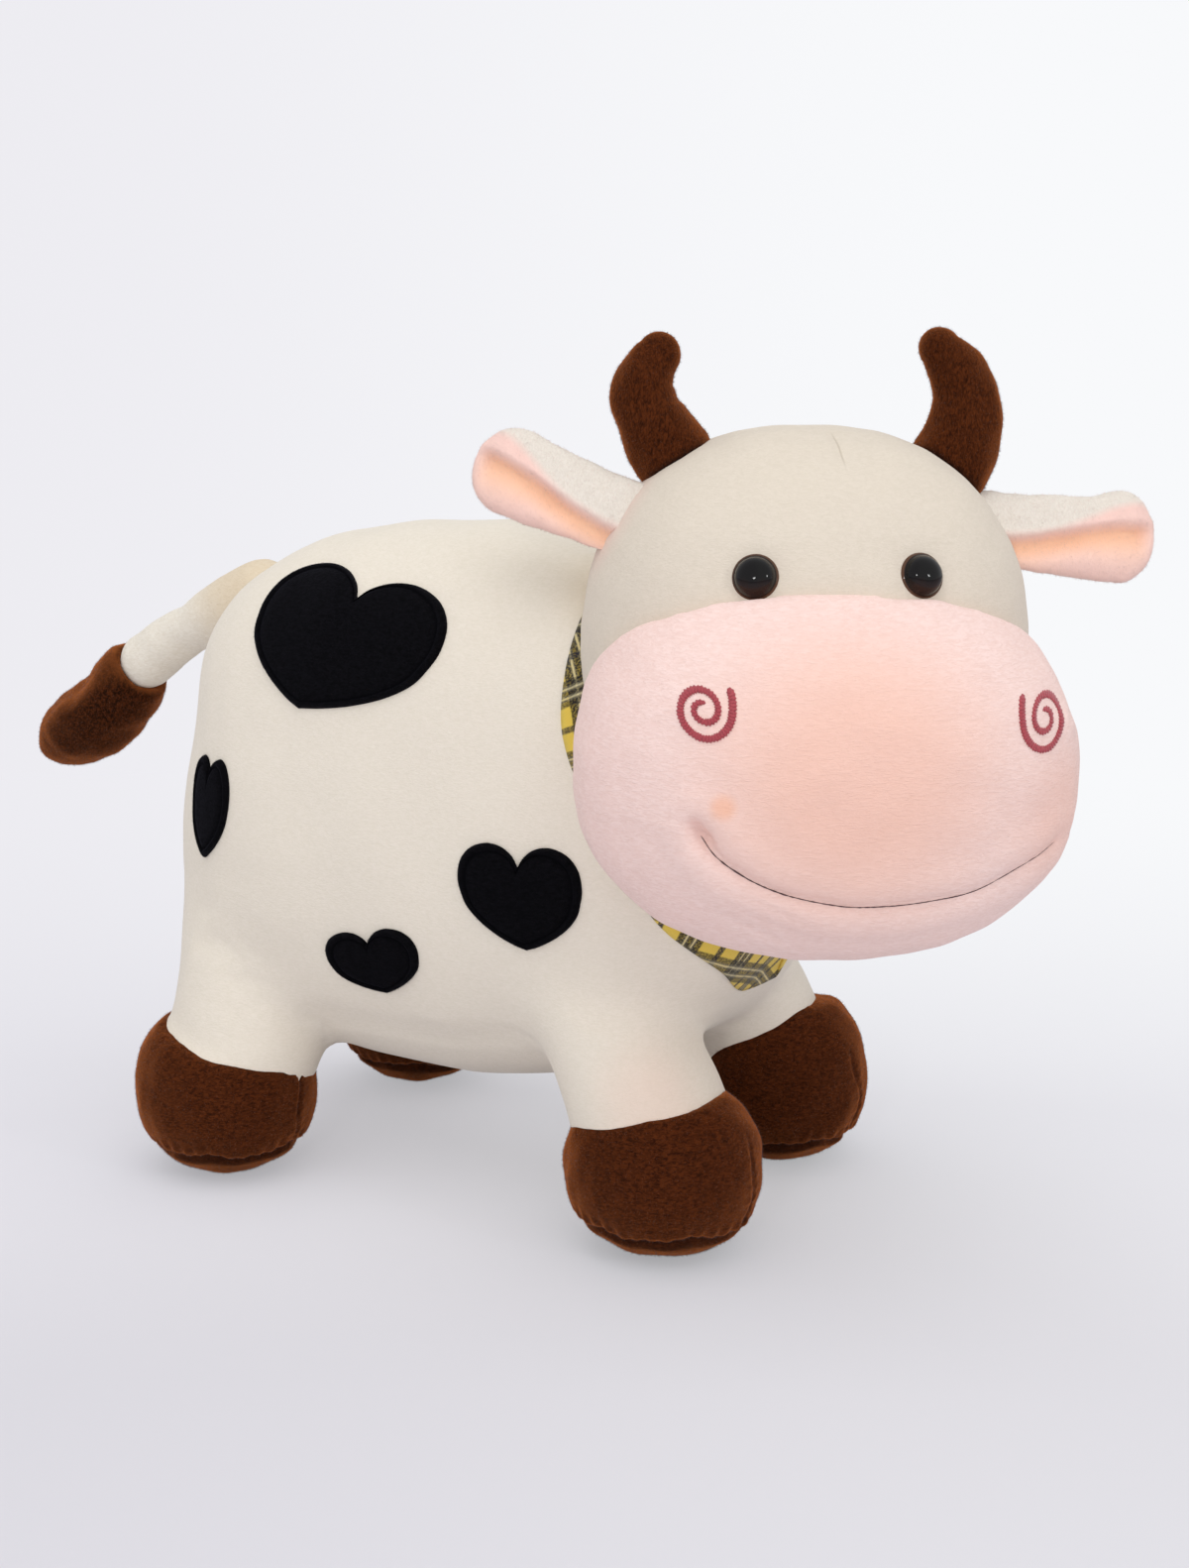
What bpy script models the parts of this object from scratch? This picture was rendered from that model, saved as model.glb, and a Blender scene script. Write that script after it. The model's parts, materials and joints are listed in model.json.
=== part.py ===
"""A plush cow that stands on four stuffed hooves and turns its head to its right.

The cow faces -Y, its left side is +X and up is +Z. Every stuffed piece is a loft through
rings of points. Where two of them meet, a copy of the larger one, grown by the seam gap,
cuts the smaller one, so that they lie face to face. The tail, its tuft and the two ears
turn in round seats.
"""

import math

import bmesh
import bpy
import numpy as np
from mathutils import Matrix, Vector
from mathutils.bvhtree import BVHTree

MM = 0.001

# Seams and fabric
SEAM_GAP = 0.3 * MM
COVER_THICKNESS = 2.5 * MM
PATCH_THICKNESS = 1.8 * MM
SOLE_FLATTENING = 0.5 * MM
SWING_GAP = 0.35 * MM
CUT_OVERRUN = 12 * MM
SHARP_EDGE_DEG = 40

# Torso, a barrel along Y
TORSO_LENGTH = 256 * MM
TORSO_WIDTH = 146 * MM
TORSO_HEIGHT = 203 * MM
TORSO_BELLY_HEIGHT = 42 * MM
TORSO_END_ROUNDNESS = 3.2
TORSO_TOP_ROUNDNESS = 2.9
TORSO_CHEST_ROUNDNESS = 2.5
TORSO_RUMP_ROUNDNESS = 4.4
TORSO_SIDE_ROUNDNESS = 2.5
TORSO_STATION_SHARES = (0.0, 0.25, 0.5, 0.75, 1.0)
TORSO_WIDTH_SHARES = (0.92, 0.97, 1.0, 1.04, 1.05)
TORSO_HEIGHT_SHARES = (0.90, 0.95, 1.0, 1.0, 0.98)
TORSO_RISE_SHARES = (0.02, 0.0, 0.0, 0.0, 0.0)

# Hooves: balls with a flat sole, at the corners of the stance
STANCE_LENGTH = 181 * MM
FRONT_STANCE_WIDTH = 104 * MM
REAR_STANCE_WIDTH = 125 * MM
STANCE_SIDESTEP = 6 * MM
STANCE_SETBACK = 3 * MM
FRONT_LEFT_HOOF_SETBACK = 4 * MM
REAR_LEFT_HOOF_SETBACK = -4 * MM
HOOF_LENGTH = 70 * MM
HOOF_WIDTH = 66 * MM
FRONT_HOOF_HEIGHT = 61 * MM
REAR_HOOF_HEIGHT = 65 * MM
HOOF_TOP_HEIGHT = 52 * MM
FRONT_CUFF_LEAN = 4 * MM
REAR_CUFF_LEAN = 7 * MM
HOOF_ROUNDNESS = 2.25
SOLE_SEAM_HEIGHT = 9 * MM

# Legs: sleeves that lean out from the torso to the hooves
LEG_HOOF_WIDTH = 56 * MM
LEG_ROOT_WIDTH = 82 * MM
LEG_FOOT_HEIGHT = 34 * MM
LEG_ROOT_HEIGHT = 104 * MM
LEG_FOOT_INSET = 1 * MM
FRONT_LEG_FOOT_DRAW = 4 * MM
REAR_LEG_FOOT_DRAW = 5.5 * MM
LEFT_LEG_EXTRA_DRAW = 2.5 * MM
LEG_SIDE_COVER = 11 * MM
FRONT_LEG_END_COVER = 39 * MM
REAR_LEG_END_COVER = 3 * MM
FRONT_LEG_SPREAD_POWER = 1.6
REAR_LEG_SPREAD_POWER = 1.15

# Head, set at the front end of the torso
HEAD_WIDTH = 147 * MM
HEAD_LENGTH = 132 * MM
HEAD_HEIGHT = 150 * MM
HEAD_END_ROUNDNESS = 2.25
HEAD_SIDE_ROUNDNESS = 2.3
HEAD_SIDESTEP = -21 * MM
HEAD_OVERHANG = -3 * MM
HEAD_RISE = 63 * MM
HEAD_TURN_DEG = -55.5
HEAD_NOD_DEG = 0
HEAD_TILT_DEG = 0

# Muzzle, on the front of the head
MUZZLE_WIDTH = 160 * MM
MUZZLE_LENGTH = 112 * MM
MUZZLE_HEIGHT = 120 * MM
MUZZLE_END_ROUNDNESS = 2.2
MUZZLE_SIDE_ROUNDNESS = 2.25
MUZZLE_FORWARD = 42 * MM
MUZZLE_DROP = 31 * MM
MUZZLE_NOD_DEG = 6
MUZZLE_TILT_DEG = 2

# Eyes: domes on posts, locked behind the cover by washers
EYE_DIAMETER = 16 * MM
EYE_DOME_HEIGHT = 6.5 * MM
EYE_SPACING = 52 * MM
EYE_RISE = 31 * MM
EYE_SEAT_DEPTH = 1.5 * MM
EYE_POST_DIAMETER = 4.6 * MM
EYE_POST_LENGTH = 13 * MM
WASHER_DIAMETER = 14 * MM
WASHER_THICKNESS = 2.4 * MM
EYE_CLEARANCE = 0.3 * MM

# Horns, which curve out and back in
HORN_BASE_WIDTH = 31 * MM
HORN_TIP_WIDTH = 18 * MM
HORN_ROOT_SPACING = 67 * MM
HORN_BULGE_SPACING = 132 * MM
HORN_TIP_SPACING = 88 * MM
HORN_SIDESTEP = 1.5 * MM
HORN_TIP_SIDESTEP = -2 * MM
HORN_ROOT_DROP = 29 * MM
HORN_BULGE_RISE = 1 * MM
HORN_TIP_RISE = 24 * MM
HORN_SETBACK = 4 * MM
HORN_TAPER_POWER = 1.5
HORN_TIP_SHARES = (1 / 6, 1 / 3)

# Ears: a ball root, and a leaf folded lengthwise round its pink lining
EAR_LENGTH = 51 * MM
EAR_WIDTH = 38 * MM
EAR_ROOT_WIDTH = 14 * MM
EAR_ROOT_THICKNESS = 10 * MM
EAR_STEM_SHARE = 0.34
EAR_STEM_POWER = 1.5
EAR_SWELL_SHARE = 0.65
EAR_SWELL_POWER = 1.2
EAR_ROUND_START_SHARE = 0.62
EAR_BACK_THICKNESS = 3.2 * MM
EAR_LINING_THICKNESS = 2.6 * MM
EAR_ROOT_CURVE = 12 * MM
EAR_TIP_CURVE = 21 * MM
EAR_FOLD_DEPTH = 6 * MM
EAR_ROOT_START_SHARE = 0.05
EAR_TIP_SHARE = 0.985
EAR_LINING_START_SHARE = 0.35
EAR_BALL_DIAMETER = 20 * MM
EAR_STANDOFF = 4 * MM
RIGHT_EAR_DROP = 31 * MM
LEFT_EAR_DROP = 37 * MM
RIGHT_EAR_LIFT_DEG = 20
LEFT_EAR_LIFT_DEG = -4
RIGHT_EAR_SWEEP_DEG = 25
LEFT_EAR_SWEEP_DEG = 2
EAR_ROLL_DEG = 18

# Tail and its tuft
TAIL_LENGTH = 57 * MM
TAIL_ROOT_DIAMETER = 16 * MM
TAIL_STANDOFF = 5 * MM
TAIL_END_DIAMETER = 23 * MM
TAIL_ROOT_RISE = 60 * MM
TAIL_START_DEG = -12
TAIL_END_DEG = -39
TUFT_LENGTH = 62 * MM
TUFT_DIAMETER = 36 * MM
TUFT_WALL = 1.6 * MM
TUFT_CUP_DEG = 62
TUFT_SWELL_SHARE = 0.6

# Neckerchief, a cloth ring with one corner hanging over the chest
KERCHIEF_THICKNESS = 1.4 * MM
KERCHIEF_BAND_RADIUS = 54.5 * MM
KERCHIEF_RIGHT_DROP = 93 * MM
KERCHIEF_LEFT_DROP = 58 * MM
KERCHIEF_LEFT_INSET = 48 * MM
KERCHIEF_CORNER_DROP = 99 * MM
KERCHIEF_CORNER_SIDESTEP = 10 * MM
KERCHIEF_DEPTH = 54 * MM

# Hearts: width and height, then where each sits on the torso
HEART_SIZES = {
    "heart_back_right": (83 * MM, 50 * MM),
    "heart_shoulder_right": (46 * MM, 36 * MM),
    "heart_belly_right": (40 * MM, 25 * MM),
    "heart_rump_right": (26 * MM, 39 * MM),
    "heart_back_left": (62 * MM, 50 * MM),
    "heart_belly_left": (40 * MM, 34 * MM),
    "heart_shoulder_left": (48 * MM, 42 * MM),
}
# Share of the torso's length from its front, then azimuth from +X, elevation and roll in degrees
HEART_ALONG_SHARES = {
    "heart_back_right": 0.622,
    "heart_shoulder_right": 0.325,
    "heart_belly_right": 0.56,
    "heart_rump_right": 0.78,
    "heart_back_left": 0.62,
    "heart_belly_left": 0.72,
    "heart_shoulder_left": 0.30,
}
HEART_DIRECTIONS_DEG = {
    "heart_back_right": (180, 46, 12),
    "heart_shoulder_right": (180, -15, 0),
    "heart_belly_right": (180, -36, -12),
    "heart_rump_right": (166, -2, 0),
    "heart_back_left": (0, 30, 10),
    "heart_belly_left": (0, -22, -8),
    "heart_shoulder_left": (0, 2, 6),
}

# A heart's height follows a sum of cosines of 1 to 4 times the turn, lifted to sit in its middle
HEART_WAVE_SHARES = (13 / 28, -5 / 28, -2 / 28, -1 / 28)
HEART_RISE_SHARE = 0.1
PATCH_CUT_DEPTH = 36 * MM

# How finely the forms are divided
TORSO_SIDES, TORSO_RINGS = 32, 18
HEAD_SIDES, HEAD_RINGS = 32, 16
MUZZLE_SIDES, MUZZLE_RINGS = 32, 14
HOOF_SIDES, HOOF_RINGS, SOLE_RINGS = 24, 7, 2
LEG_SIDES, LEG_RINGS = 24, 5
HORN_SIDES, HORN_RINGS = 14, 9
EAR_SPANS, EAR_RINGS = 7, 9
TAIL_SIDES, TAIL_RINGS, TUFT_RINGS, BALL_RINGS = 16, 7, 9, 5
EYE_SIDES, EYE_RINGS = 20, 5
HEART_POINTS = 26
KERCHIEF_POINTS = 10

COLORS = {
    "ivory": (0.86, 0.80, 0.70),
    "pink": (0.90, 0.62, 0.54),
    "brown": (0.155, 0.042, 0.014),
    "black": (0.006, 0.006, 0.009),
    "eye": (0.010, 0.006, 0.005),
    "washer": (0.75, 0.75, 0.72),
    "checked": (0.62, 0.50, 0.10),
}
ROUGHNESS = {"eye": 0.06, "washer": 0.5}


def smooth_curve(stations, values, at):
    """Value at a station of the smooth curve through a short table."""
    slopes = np.gradient(values, stations)
    left = min(max(np.searchsorted(stations, at) - 1, 0), len(stations) - 2)
    span = stations[left + 1] - stations[left]
    step = (at - stations[left]) / span
    start = values[left] * (1 + 2 * step) + slopes[left] * span * step
    end = values[left + 1] * (3 - 2 * step) - slopes[left + 1] * span * (1 - step)
    return start * (1 - step) ** 2 + end * step**2


def rounded(turn, roundness):
    """Point of a unit circle drawn out towards a square by a roundness over 2."""
    across, up = math.cos(turn), math.sin(turn)
    power = 2 / roundness
    return (math.copysign(abs(across) ** power, across), math.copysign(abs(up) ** power, up))


def loft(rows, first_tip=None, last_tip=None):
    """Closed mesh through rows of points; each end is a flat face or runs to a tip."""
    form = bmesh.new()
    grid = [[form.verts.new(point) for point in row] for row in rows]
    for near, far in zip(grid, grid[1:]):
        for side, point in enumerate(near):
            form.faces.new((near[side - 1], point, far[side], far[side - 1]))
    for row, tip in ((grid[0], first_tip), (grid[-1], last_tip)):
        if tip is None:
            form.faces.new(row)
            continue
        peak = form.verts.new(tip)
        for side, point in enumerate(row):
            form.faces.new((row[side - 1], point, peak))
    bmesh.ops.recalc_face_normals(form, faces=form.faces)
    mesh = bpy.data.meshes.new("form")
    form.to_mesh(mesh)
    form.free()
    return mesh


def swell(along, roundness):
    """Half size of a rounded form at a place from -1 to 1 along it."""
    return (1 - abs(along) ** roundness) ** (1 / roundness)


def stuffed_form(size, roundness, sides, rings, profile=None):
    """Closed form along Y that swells between two tips.

    Its roundness is given across, above, below in front, below behind and round each ring;
    the profile gives width, height and rise at a share of the length.
    """
    width, length, height = size
    across_roundness, top_roundness, front_roundness, rear_roundness, ring_roundness = roundness
    rows = []
    for ring in range(1, rings):
        out, along = rounded(math.pi * (ring / rings - 0.5), across_roundness)
        over = swell(along, top_roundness)
        under = swell(along, front_roundness if along < 0 else rear_roundness)
        wide, high, rise = profile((along + 1) / 2) if profile else (1, 1, 0)
        row = []
        for side in range(sides):
            across, up = rounded(2 * math.pi * (side + 0.5) / sides, ring_roundness)
            up *= over if up > 0 else under
            row.append(
                (
                    across * out * wide * width / 2,
                    along * length / 2,
                    (up * high / 2 + rise) * height,
                )
            )
        rows.append(row)
    first_rise, last_rise = (profile(0)[2], profile(1)[2]) if profile else (0, 0)
    first = (0, -length / 2, first_rise * height)
    last = (0, length / 2, last_rise * height)
    return loft(rows, first, last)


def tube(points, radii, sides, first_tip=None, last_tip=None, flatness=1):
    """Loft of round rings along a path that lies in the YZ plane."""
    path = [Vector(point) for point in points]
    rows = []
    for place, center in enumerate(path):
        before = path[max(place - 1, 0)]
        after = path[min(place + 1, len(path) - 1)]
        up = Vector((1, 0, 0)).cross((after - before).normalized())
        ring = []
        for side in range(sides):
            turn = 2 * math.pi * (side + 0.5) / sides
            out = Vector((flatness * math.cos(turn), 0, 0)) + math.sin(turn) * up
            ring.append(center + radii[place] * out)
        rows.append(ring)
    return loft(rows, first_tip, last_tip)


def turned(profile, sides):
    """Closed mesh turned about Y from points of radius and place along Y, tip to tip."""
    rows = []
    for radius, along in profile[1:-1]:
        turns = [2 * math.pi * side / sides for side in range(sides)]
        rows.append([(radius * math.cos(turn), along, radius * math.sin(turn)) for turn in turns])
    return loft(rows, (0, profile[0][1], 0), (0, profile[-1][1], 0))


def ball(radius):
    """Round seat or root, as a stuffed form of one size in all directions."""
    return stuffed_form((2 * radius,) * 3, (2,) * 5, TAIL_SIDES, 2 * BALL_RINGS)


def grown(mesh, gap):
    """Copy of a mesh with each point moved out along its normal."""
    copy = mesh.copy()
    for vertex, normal in zip(copy.vertices, mesh.vertex_normals):
        vertex.co += gap * normal.vector
    return copy


def material(name):
    """Principled material of one of the named colours, made once."""
    if name in bpy.data.materials:
        return bpy.data.materials[name]
    made = bpy.data.materials.new(name)
    made.use_nodes = True
    shader = made.node_tree.nodes["Principled BSDF"]
    shader.inputs["Base Color"].default_value = (*COLORS[name], 1)
    shader.inputs["Roughness"].default_value = ROUGHNESS.get(name, 0.95)
    return made


def add_object(name, mesh, place=None, parent=None):
    """Object for a mesh, put at a place in its parent's frame."""
    made = bpy.data.objects.new(name, mesh)
    bpy.context.collection.objects.link(made)
    made.parent = parent
    if place is not None:
        made.matrix_basis = place
    return made


def add_piece(name, mesh, color, parent, place=None):
    """Visible piece with its own mesh and colour, shaded smooth."""
    mesh.name = name
    mesh.shade_smooth()
    mesh.set_sharp_from_angle(angle=math.radians(SHARP_EDGE_DEG))
    mesh.materials.append(material(color))
    return add_object(name, mesh, place, parent)


def add_cutter(name, mesh, parent, place=None):
    """Hidden object that shapes others."""
    made = add_object(name, mesh, place, parent)
    made.hide_render = True
    made.display_type = "WIRE"
    return made


def shape(piece, *cutters, operation="DIFFERENCE"):
    """Boolean of a piece with each cutter in turn."""
    for cutter in cutters:
        step = piece.modifiers.new(cutter.name, "BOOLEAN")
        step.operation = operation
        step.object = cutter


def surface_point(mesh, start, target):
    """Where a line towards a target meets a mesh, and the surface's normal there."""
    form = bmesh.new()
    form.from_mesh(mesh)
    tree = BVHTree.FromBMesh(form)
    form.free()
    point, normal, _, _ = tree.ray_cast(Vector(start), (Vector(target) - Vector(start)).normalized())
    return point, normal


def aimed(point, direction, roll=0):
    """Place whose -Y looks along a direction, with its Z as near up as it can be."""
    forward = Vector(direction).normalized()
    side = forward.cross(Vector((0, 0, 1))).normalized()
    up = side.cross(forward)
    turn = Matrix((-side, -forward, up)).transposed().to_4x4()
    return Matrix.Translation(point) @ turn @ Matrix.Rotation(roll, 4, "Y")


def add_empty(name, place, parent=None):
    return add_object(name, None, place, parent)


def torso_profile(station):
    """Width, height and rise of the torso at a share of its length from the front."""
    tables = (TORSO_WIDTH_SHARES, TORSO_HEIGHT_SHARES, TORSO_RISE_SHARES)
    return [smooth_curve(TORSO_STATION_SHARES, table, station) for table in tables]


def torso_middle():
    return Vector((0, 0, TORSO_BELLY_HEIGHT + TORSO_HEIGHT / 2))


def add_torso(cow):
    """Torso in its own frame, its grown copies, and the seat of the tail."""
    place = add_empty("torso_place", Matrix.Translation(torso_middle()), cow)
    mesh = stuffed_form(
        (TORSO_WIDTH, TORSO_LENGTH, TORSO_HEIGHT),
        (
            TORSO_END_ROUNDNESS,
            TORSO_TOP_ROUNDNESS,
            TORSO_CHEST_ROUNDNESS,
            TORSO_RUMP_ROUNDNESS,
            TORSO_SIDE_ROUNDNESS,
        ),
        TORSO_SIDES,
        TORSO_RINGS,
        torso_profile,
    )
    torso = add_piece("torso", mesh, "ivory", place)
    seam = add_cutter("torso_seam", grown(mesh, SEAM_GAP), place)
    return place, torso, seam


def hoof_radius_share(height, hoof_height):
    """Share of the hoof's widest size at a height above the ground."""
    half = (hoof_height + SOLE_FLATTENING) / 2
    level = (height + SOLE_FLATTENING - half) / half
    return (1 - abs(level) ** HOOF_ROUNDNESS) ** (1 / HOOF_ROUNDNESS)


def hoof_point(turn, height, hoof_height, gap=0):
    """Point of the hoof at a turn round it and a height, drawn out by a gap."""
    share = hoof_radius_share(height, hoof_height)
    across = (HOOF_WIDTH / 2 * share + gap) * math.cos(turn)
    along = (HOOF_LENGTH / 2 * share + gap) * math.sin(turn)
    return (across, along, height)


def hoof_heights(low, high, hoof_height, rings):
    """Heights between two limits, closer together near the ground and the top."""
    half = (hoof_height + SOLE_FLATTENING) / 2
    turns = [math.acos((half - SOLE_FLATTENING - height) / half) for height in (low, high)]
    steps = [turns[0] + (turns[1] - turns[0]) * ring / rings for ring in range(rings + 1)]
    return [half - SOLE_FLATTENING - half * math.cos(turn) for turn in steps]


def hoof_rows(low, high, lean, rings, hoof_height, gap=0):
    """Rings from a level seam up to another that rises towards the rear by a lean."""
    columns = []
    for side in range(HOOF_SIDES):
        turn = 2 * math.pi * side / HOOF_SIDES
        heights = hoof_heights(low, high + lean * math.sin(turn), hoof_height, rings)
        columns.append([hoof_point(turn, height, hoof_height, gap) for height in heights])
    return list(zip(*columns))


def add_hoof(name, hoof_height, lean, place, torso_seam):
    """Hoof, cut where the leg covers it, its sole panel, and the grown copy that cuts the leg."""
    seam_low = SOLE_SEAM_HEIGHT - SEAM_GAP / 2
    seam_high = SOLE_SEAM_HEIGHT + SEAM_GAP / 2
    sole_rows = hoof_rows(0, seam_low, 0, SOLE_RINGS, hoof_height)
    rows = hoof_rows(seam_high, HOOF_TOP_HEIGHT, lean, HOOF_RINGS, hoof_height)
    grown_rows = hoof_rows(seam_high, HOOF_TOP_HEIGHT, lean, HOOF_RINGS, hoof_height, SEAM_GAP)
    grown_rows.append([(across, along, height + SEAM_GAP) for across, along, height in grown_rows[-1]])
    top = Vector((0, 0, HOOF_TOP_HEIGHT))
    add_piece(f"sole_{name}", loft(sole_rows), "brown", place)
    hoof = add_piece(f"hoof_{name}", loft(rows, last_tip=top), "brown", place)
    shape(hoof, torso_seam)
    top.z += SEAM_GAP
    return add_cutter(f"hoof_seam_{name}", loft(grown_rows, last_tip=top), place)


def foot_place(side, end):
    """Middle of a sole; the rear hooves stand wider and the left ones a little closer together."""
    width = FRONT_STANCE_WIDTH if end < 0 else REAR_STANCE_WIDTH
    setback = STANCE_SETBACK
    if side > 0:
        setback += FRONT_LEFT_HOOF_SETBACK if end < 0 else REAR_LEFT_HOOF_SETBACK
    return Vector((side * width / 2 + STANCE_SIDESTEP, end * STANCE_LENGTH / 2 + setback, 0))


def add_leg(name, side, end, cow, torso_seam):
    """Leg, hoof and sole at one corner; side is +1 on the left, end is +1 at the rear."""
    foot = foot_place(side, end)
    foot_draw = FRONT_LEG_FOOT_DRAW if end < 0 else REAR_LEG_FOOT_DRAW
    if side > 0:
        foot_draw += LEFT_LEG_EXTRA_DRAW
    hoof_height = FRONT_HOOF_HEIGHT if end < 0 else REAR_HOOF_HEIGHT
    lean = -FRONT_CUFF_LEAN if end < 0 else REAR_CUFF_LEAN
    cover = FRONT_LEG_END_COVER if end < 0 else REAR_LEG_END_COVER
    spread_power = FRONT_LEG_SPREAD_POWER if end < 0 else REAR_LEG_SPREAD_POWER
    low = Vector((-side * LEG_FOOT_INSET, -end * foot_draw, LEG_FOOT_HEIGHT))
    root_x = side * ((TORSO_WIDTH - LEG_ROOT_WIDTH) / 2 - LEG_SIDE_COVER)
    root_y = end * ((TORSO_LENGTH - LEG_ROOT_WIDTH) / 2 - cover)
    high = Vector((root_x - foot.x, root_y - foot.y, LEG_ROOT_HEIGHT))
    place = add_empty(f"leg_place_{name}", Matrix.Translation(foot), cow)
    hoof_seam = add_hoof(name, hoof_height, lean, place, torso_seam)
    rows = []
    for ring in range(LEG_RINGS + 1):
        share = ring / LEG_RINGS
        spread = share**spread_power
        radius = (LEG_HOOF_WIDTH + (LEG_ROOT_WIDTH - LEG_HOOF_WIDTH) * spread) / 2
        middle = low.lerp(high, spread)
        middle.z = low.z + (high.z - low.z) * share
        turns = [2 * math.pi * step / LEG_SIDES for step in range(LEG_SIDES)]
        rows.append([middle + radius * Vector((math.cos(turn), math.sin(turn), 0)) for turn in turns])
    leg = add_piece(f"leg_{name}", loft(rows), "ivory", place)
    shape(leg, hoof_seam, torso_seam)


def add_head(cow):
    """Head in its own frame, with its grown copy."""
    neck = torso_middle() + Vector((HEAD_SIDESTEP, -TORSO_LENGTH / 2 - HEAD_OVERHANG, HEAD_RISE))
    turn = Matrix.Rotation(math.radians(HEAD_TURN_DEG), 4, "Z")
    nod = Matrix.Rotation(math.radians(HEAD_NOD_DEG), 4, "X")
    tilt = Matrix.Rotation(math.radians(HEAD_TILT_DEG), 4, "Y")
    place = add_empty("head_place", Matrix.Translation(neck) @ turn @ nod @ tilt, cow)
    mesh = stuffed_form(
        (HEAD_WIDTH, HEAD_LENGTH, HEAD_HEIGHT),
        (*(HEAD_END_ROUNDNESS,) * 4, HEAD_SIDE_ROUNDNESS),
        HEAD_SIDES,
        HEAD_RINGS,
    )
    head = add_piece("head", mesh, "ivory", place)
    seam = add_cutter("head_seam", grown(mesh, SEAM_GAP), place)
    return place, head, seam


def add_muzzle(head_place):
    """Muzzle, sewn on low at the front of the head, with its grown copy."""
    nod = Matrix.Rotation(math.radians(MUZZLE_NOD_DEG), 4, "X")
    tilt = Matrix.Rotation(math.radians(MUZZLE_TILT_DEG), 4, "Y")
    place = Matrix.Translation((0, -MUZZLE_FORWARD, -MUZZLE_DROP)) @ nod @ tilt
    mesh = stuffed_form(
        (MUZZLE_WIDTH, MUZZLE_LENGTH, MUZZLE_HEIGHT),
        (*(MUZZLE_END_ROUNDNESS,) * 4, MUZZLE_SIDE_ROUNDNESS),
        MUZZLE_SIDES,
        MUZZLE_RINGS,
    )
    muzzle = add_piece("muzzle", mesh, "pink", head_place, place)
    seam = add_cutter("muzzle_seam", grown(mesh, SEAM_GAP), head_place, place)
    return muzzle, seam


def eye_profile():
    """Dome and post, tip to tip along Y, with the seat at zero."""
    radius = EYE_DIAMETER / 2
    dome = []
    for ring in range(EYE_RINGS):
        turn = math.pi / 2 * ring / EYE_RINGS
        dome.append((radius * math.sin(turn), -EYE_DOME_HEIGHT * math.cos(turn)))
    post = EYE_POST_DIAMETER / 2
    return [*dome, (radius, 0), (post, 0), (post, EYE_POST_LENGTH), (0, EYE_POST_LENGTH)]


def eye_bore_profile():
    """Seat, bore and washer pocket in the head, each clear of what it holds."""
    seat = EYE_DIAMETER / 2 + EYE_CLEARANCE
    bore = EYE_POST_DIAMETER / 2 + EYE_CLEARANCE
    pocket = WASHER_DIAMETER / 2 + EYE_CLEARANCE
    floor = EYE_CLEARANCE
    pocket_start = floor + COVER_THICKNESS
    pocket_end = pocket_start + WASHER_THICKNESS + 2 * EYE_CLEARANCE
    end = EYE_POST_LENGTH + EYE_CLEARANCE
    return [
        (0, -CUT_OVERRUN),
        (seat, -CUT_OVERRUN),
        (seat, floor),
        (bore, floor),
        (bore, pocket_start),
        (pocket, pocket_start),
        (pocket, pocket_end),
        (bore, pocket_end),
        (bore, end),
        (0, end),
    ]


def washer_mesh():
    """Flat ring that grips the post."""
    inner = EYE_POST_DIAMETER / 2 + EYE_CLEARANCE / 2
    outer = WASHER_DIAMETER / 2
    start = COVER_THICKNESS + 2 * EYE_CLEARANCE
    end = start + WASHER_THICKNESS
    form = bmesh.new()
    corners = ((inner, start), (outer, start), (outer, end), (inner, end))
    rows = []
    for side in range(EYE_SIDES):
        turn = 2 * math.pi * side / EYE_SIDES
        points = [(radius * math.cos(turn), along, radius * math.sin(turn)) for radius, along in corners]
        rows.append([form.verts.new(point) for point in points])
    for side, row in enumerate(rows):
        for corner, point in enumerate(row):
            form.faces.new((rows[side - 1][corner - 1], rows[side - 1][corner], point, row[corner - 1]))
    bmesh.ops.recalc_face_normals(form, faces=form.faces)
    mesh = bpy.data.meshes.new("washer")
    form.to_mesh(mesh)
    form.free()
    return mesh


def add_eye(name, side, head_place, head, muzzle):
    """Eye, washer and the bore that takes them."""
    start = (side * EYE_SPACING / 2, -HEAD_LENGTH, EYE_RISE)
    point, normal = surface_point(head.data, start, (side * EYE_SPACING / 2, 0, EYE_RISE))
    place = aimed(point - EYE_SEAT_DEPTH * normal, normal)
    add_piece(f"eye_{name}", turned(eye_profile(), EYE_SIDES), "eye", head_place, place)
    add_piece(f"eye_washer_{name}", washer_mesh(), "washer", head_place, place)
    bore = add_cutter(f"eye_bore_{name}", turned(eye_bore_profile(), EYE_SIDES), head_place, place)
    shape(head, bore)
    shape(muzzle, bore)


def bent(start, control, end, share):
    """Value at a share of a curve that leaves its start towards a control value."""
    return start * (1 - share) ** 2 + 2 * control * share * (1 - share) + end * share**2


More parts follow.
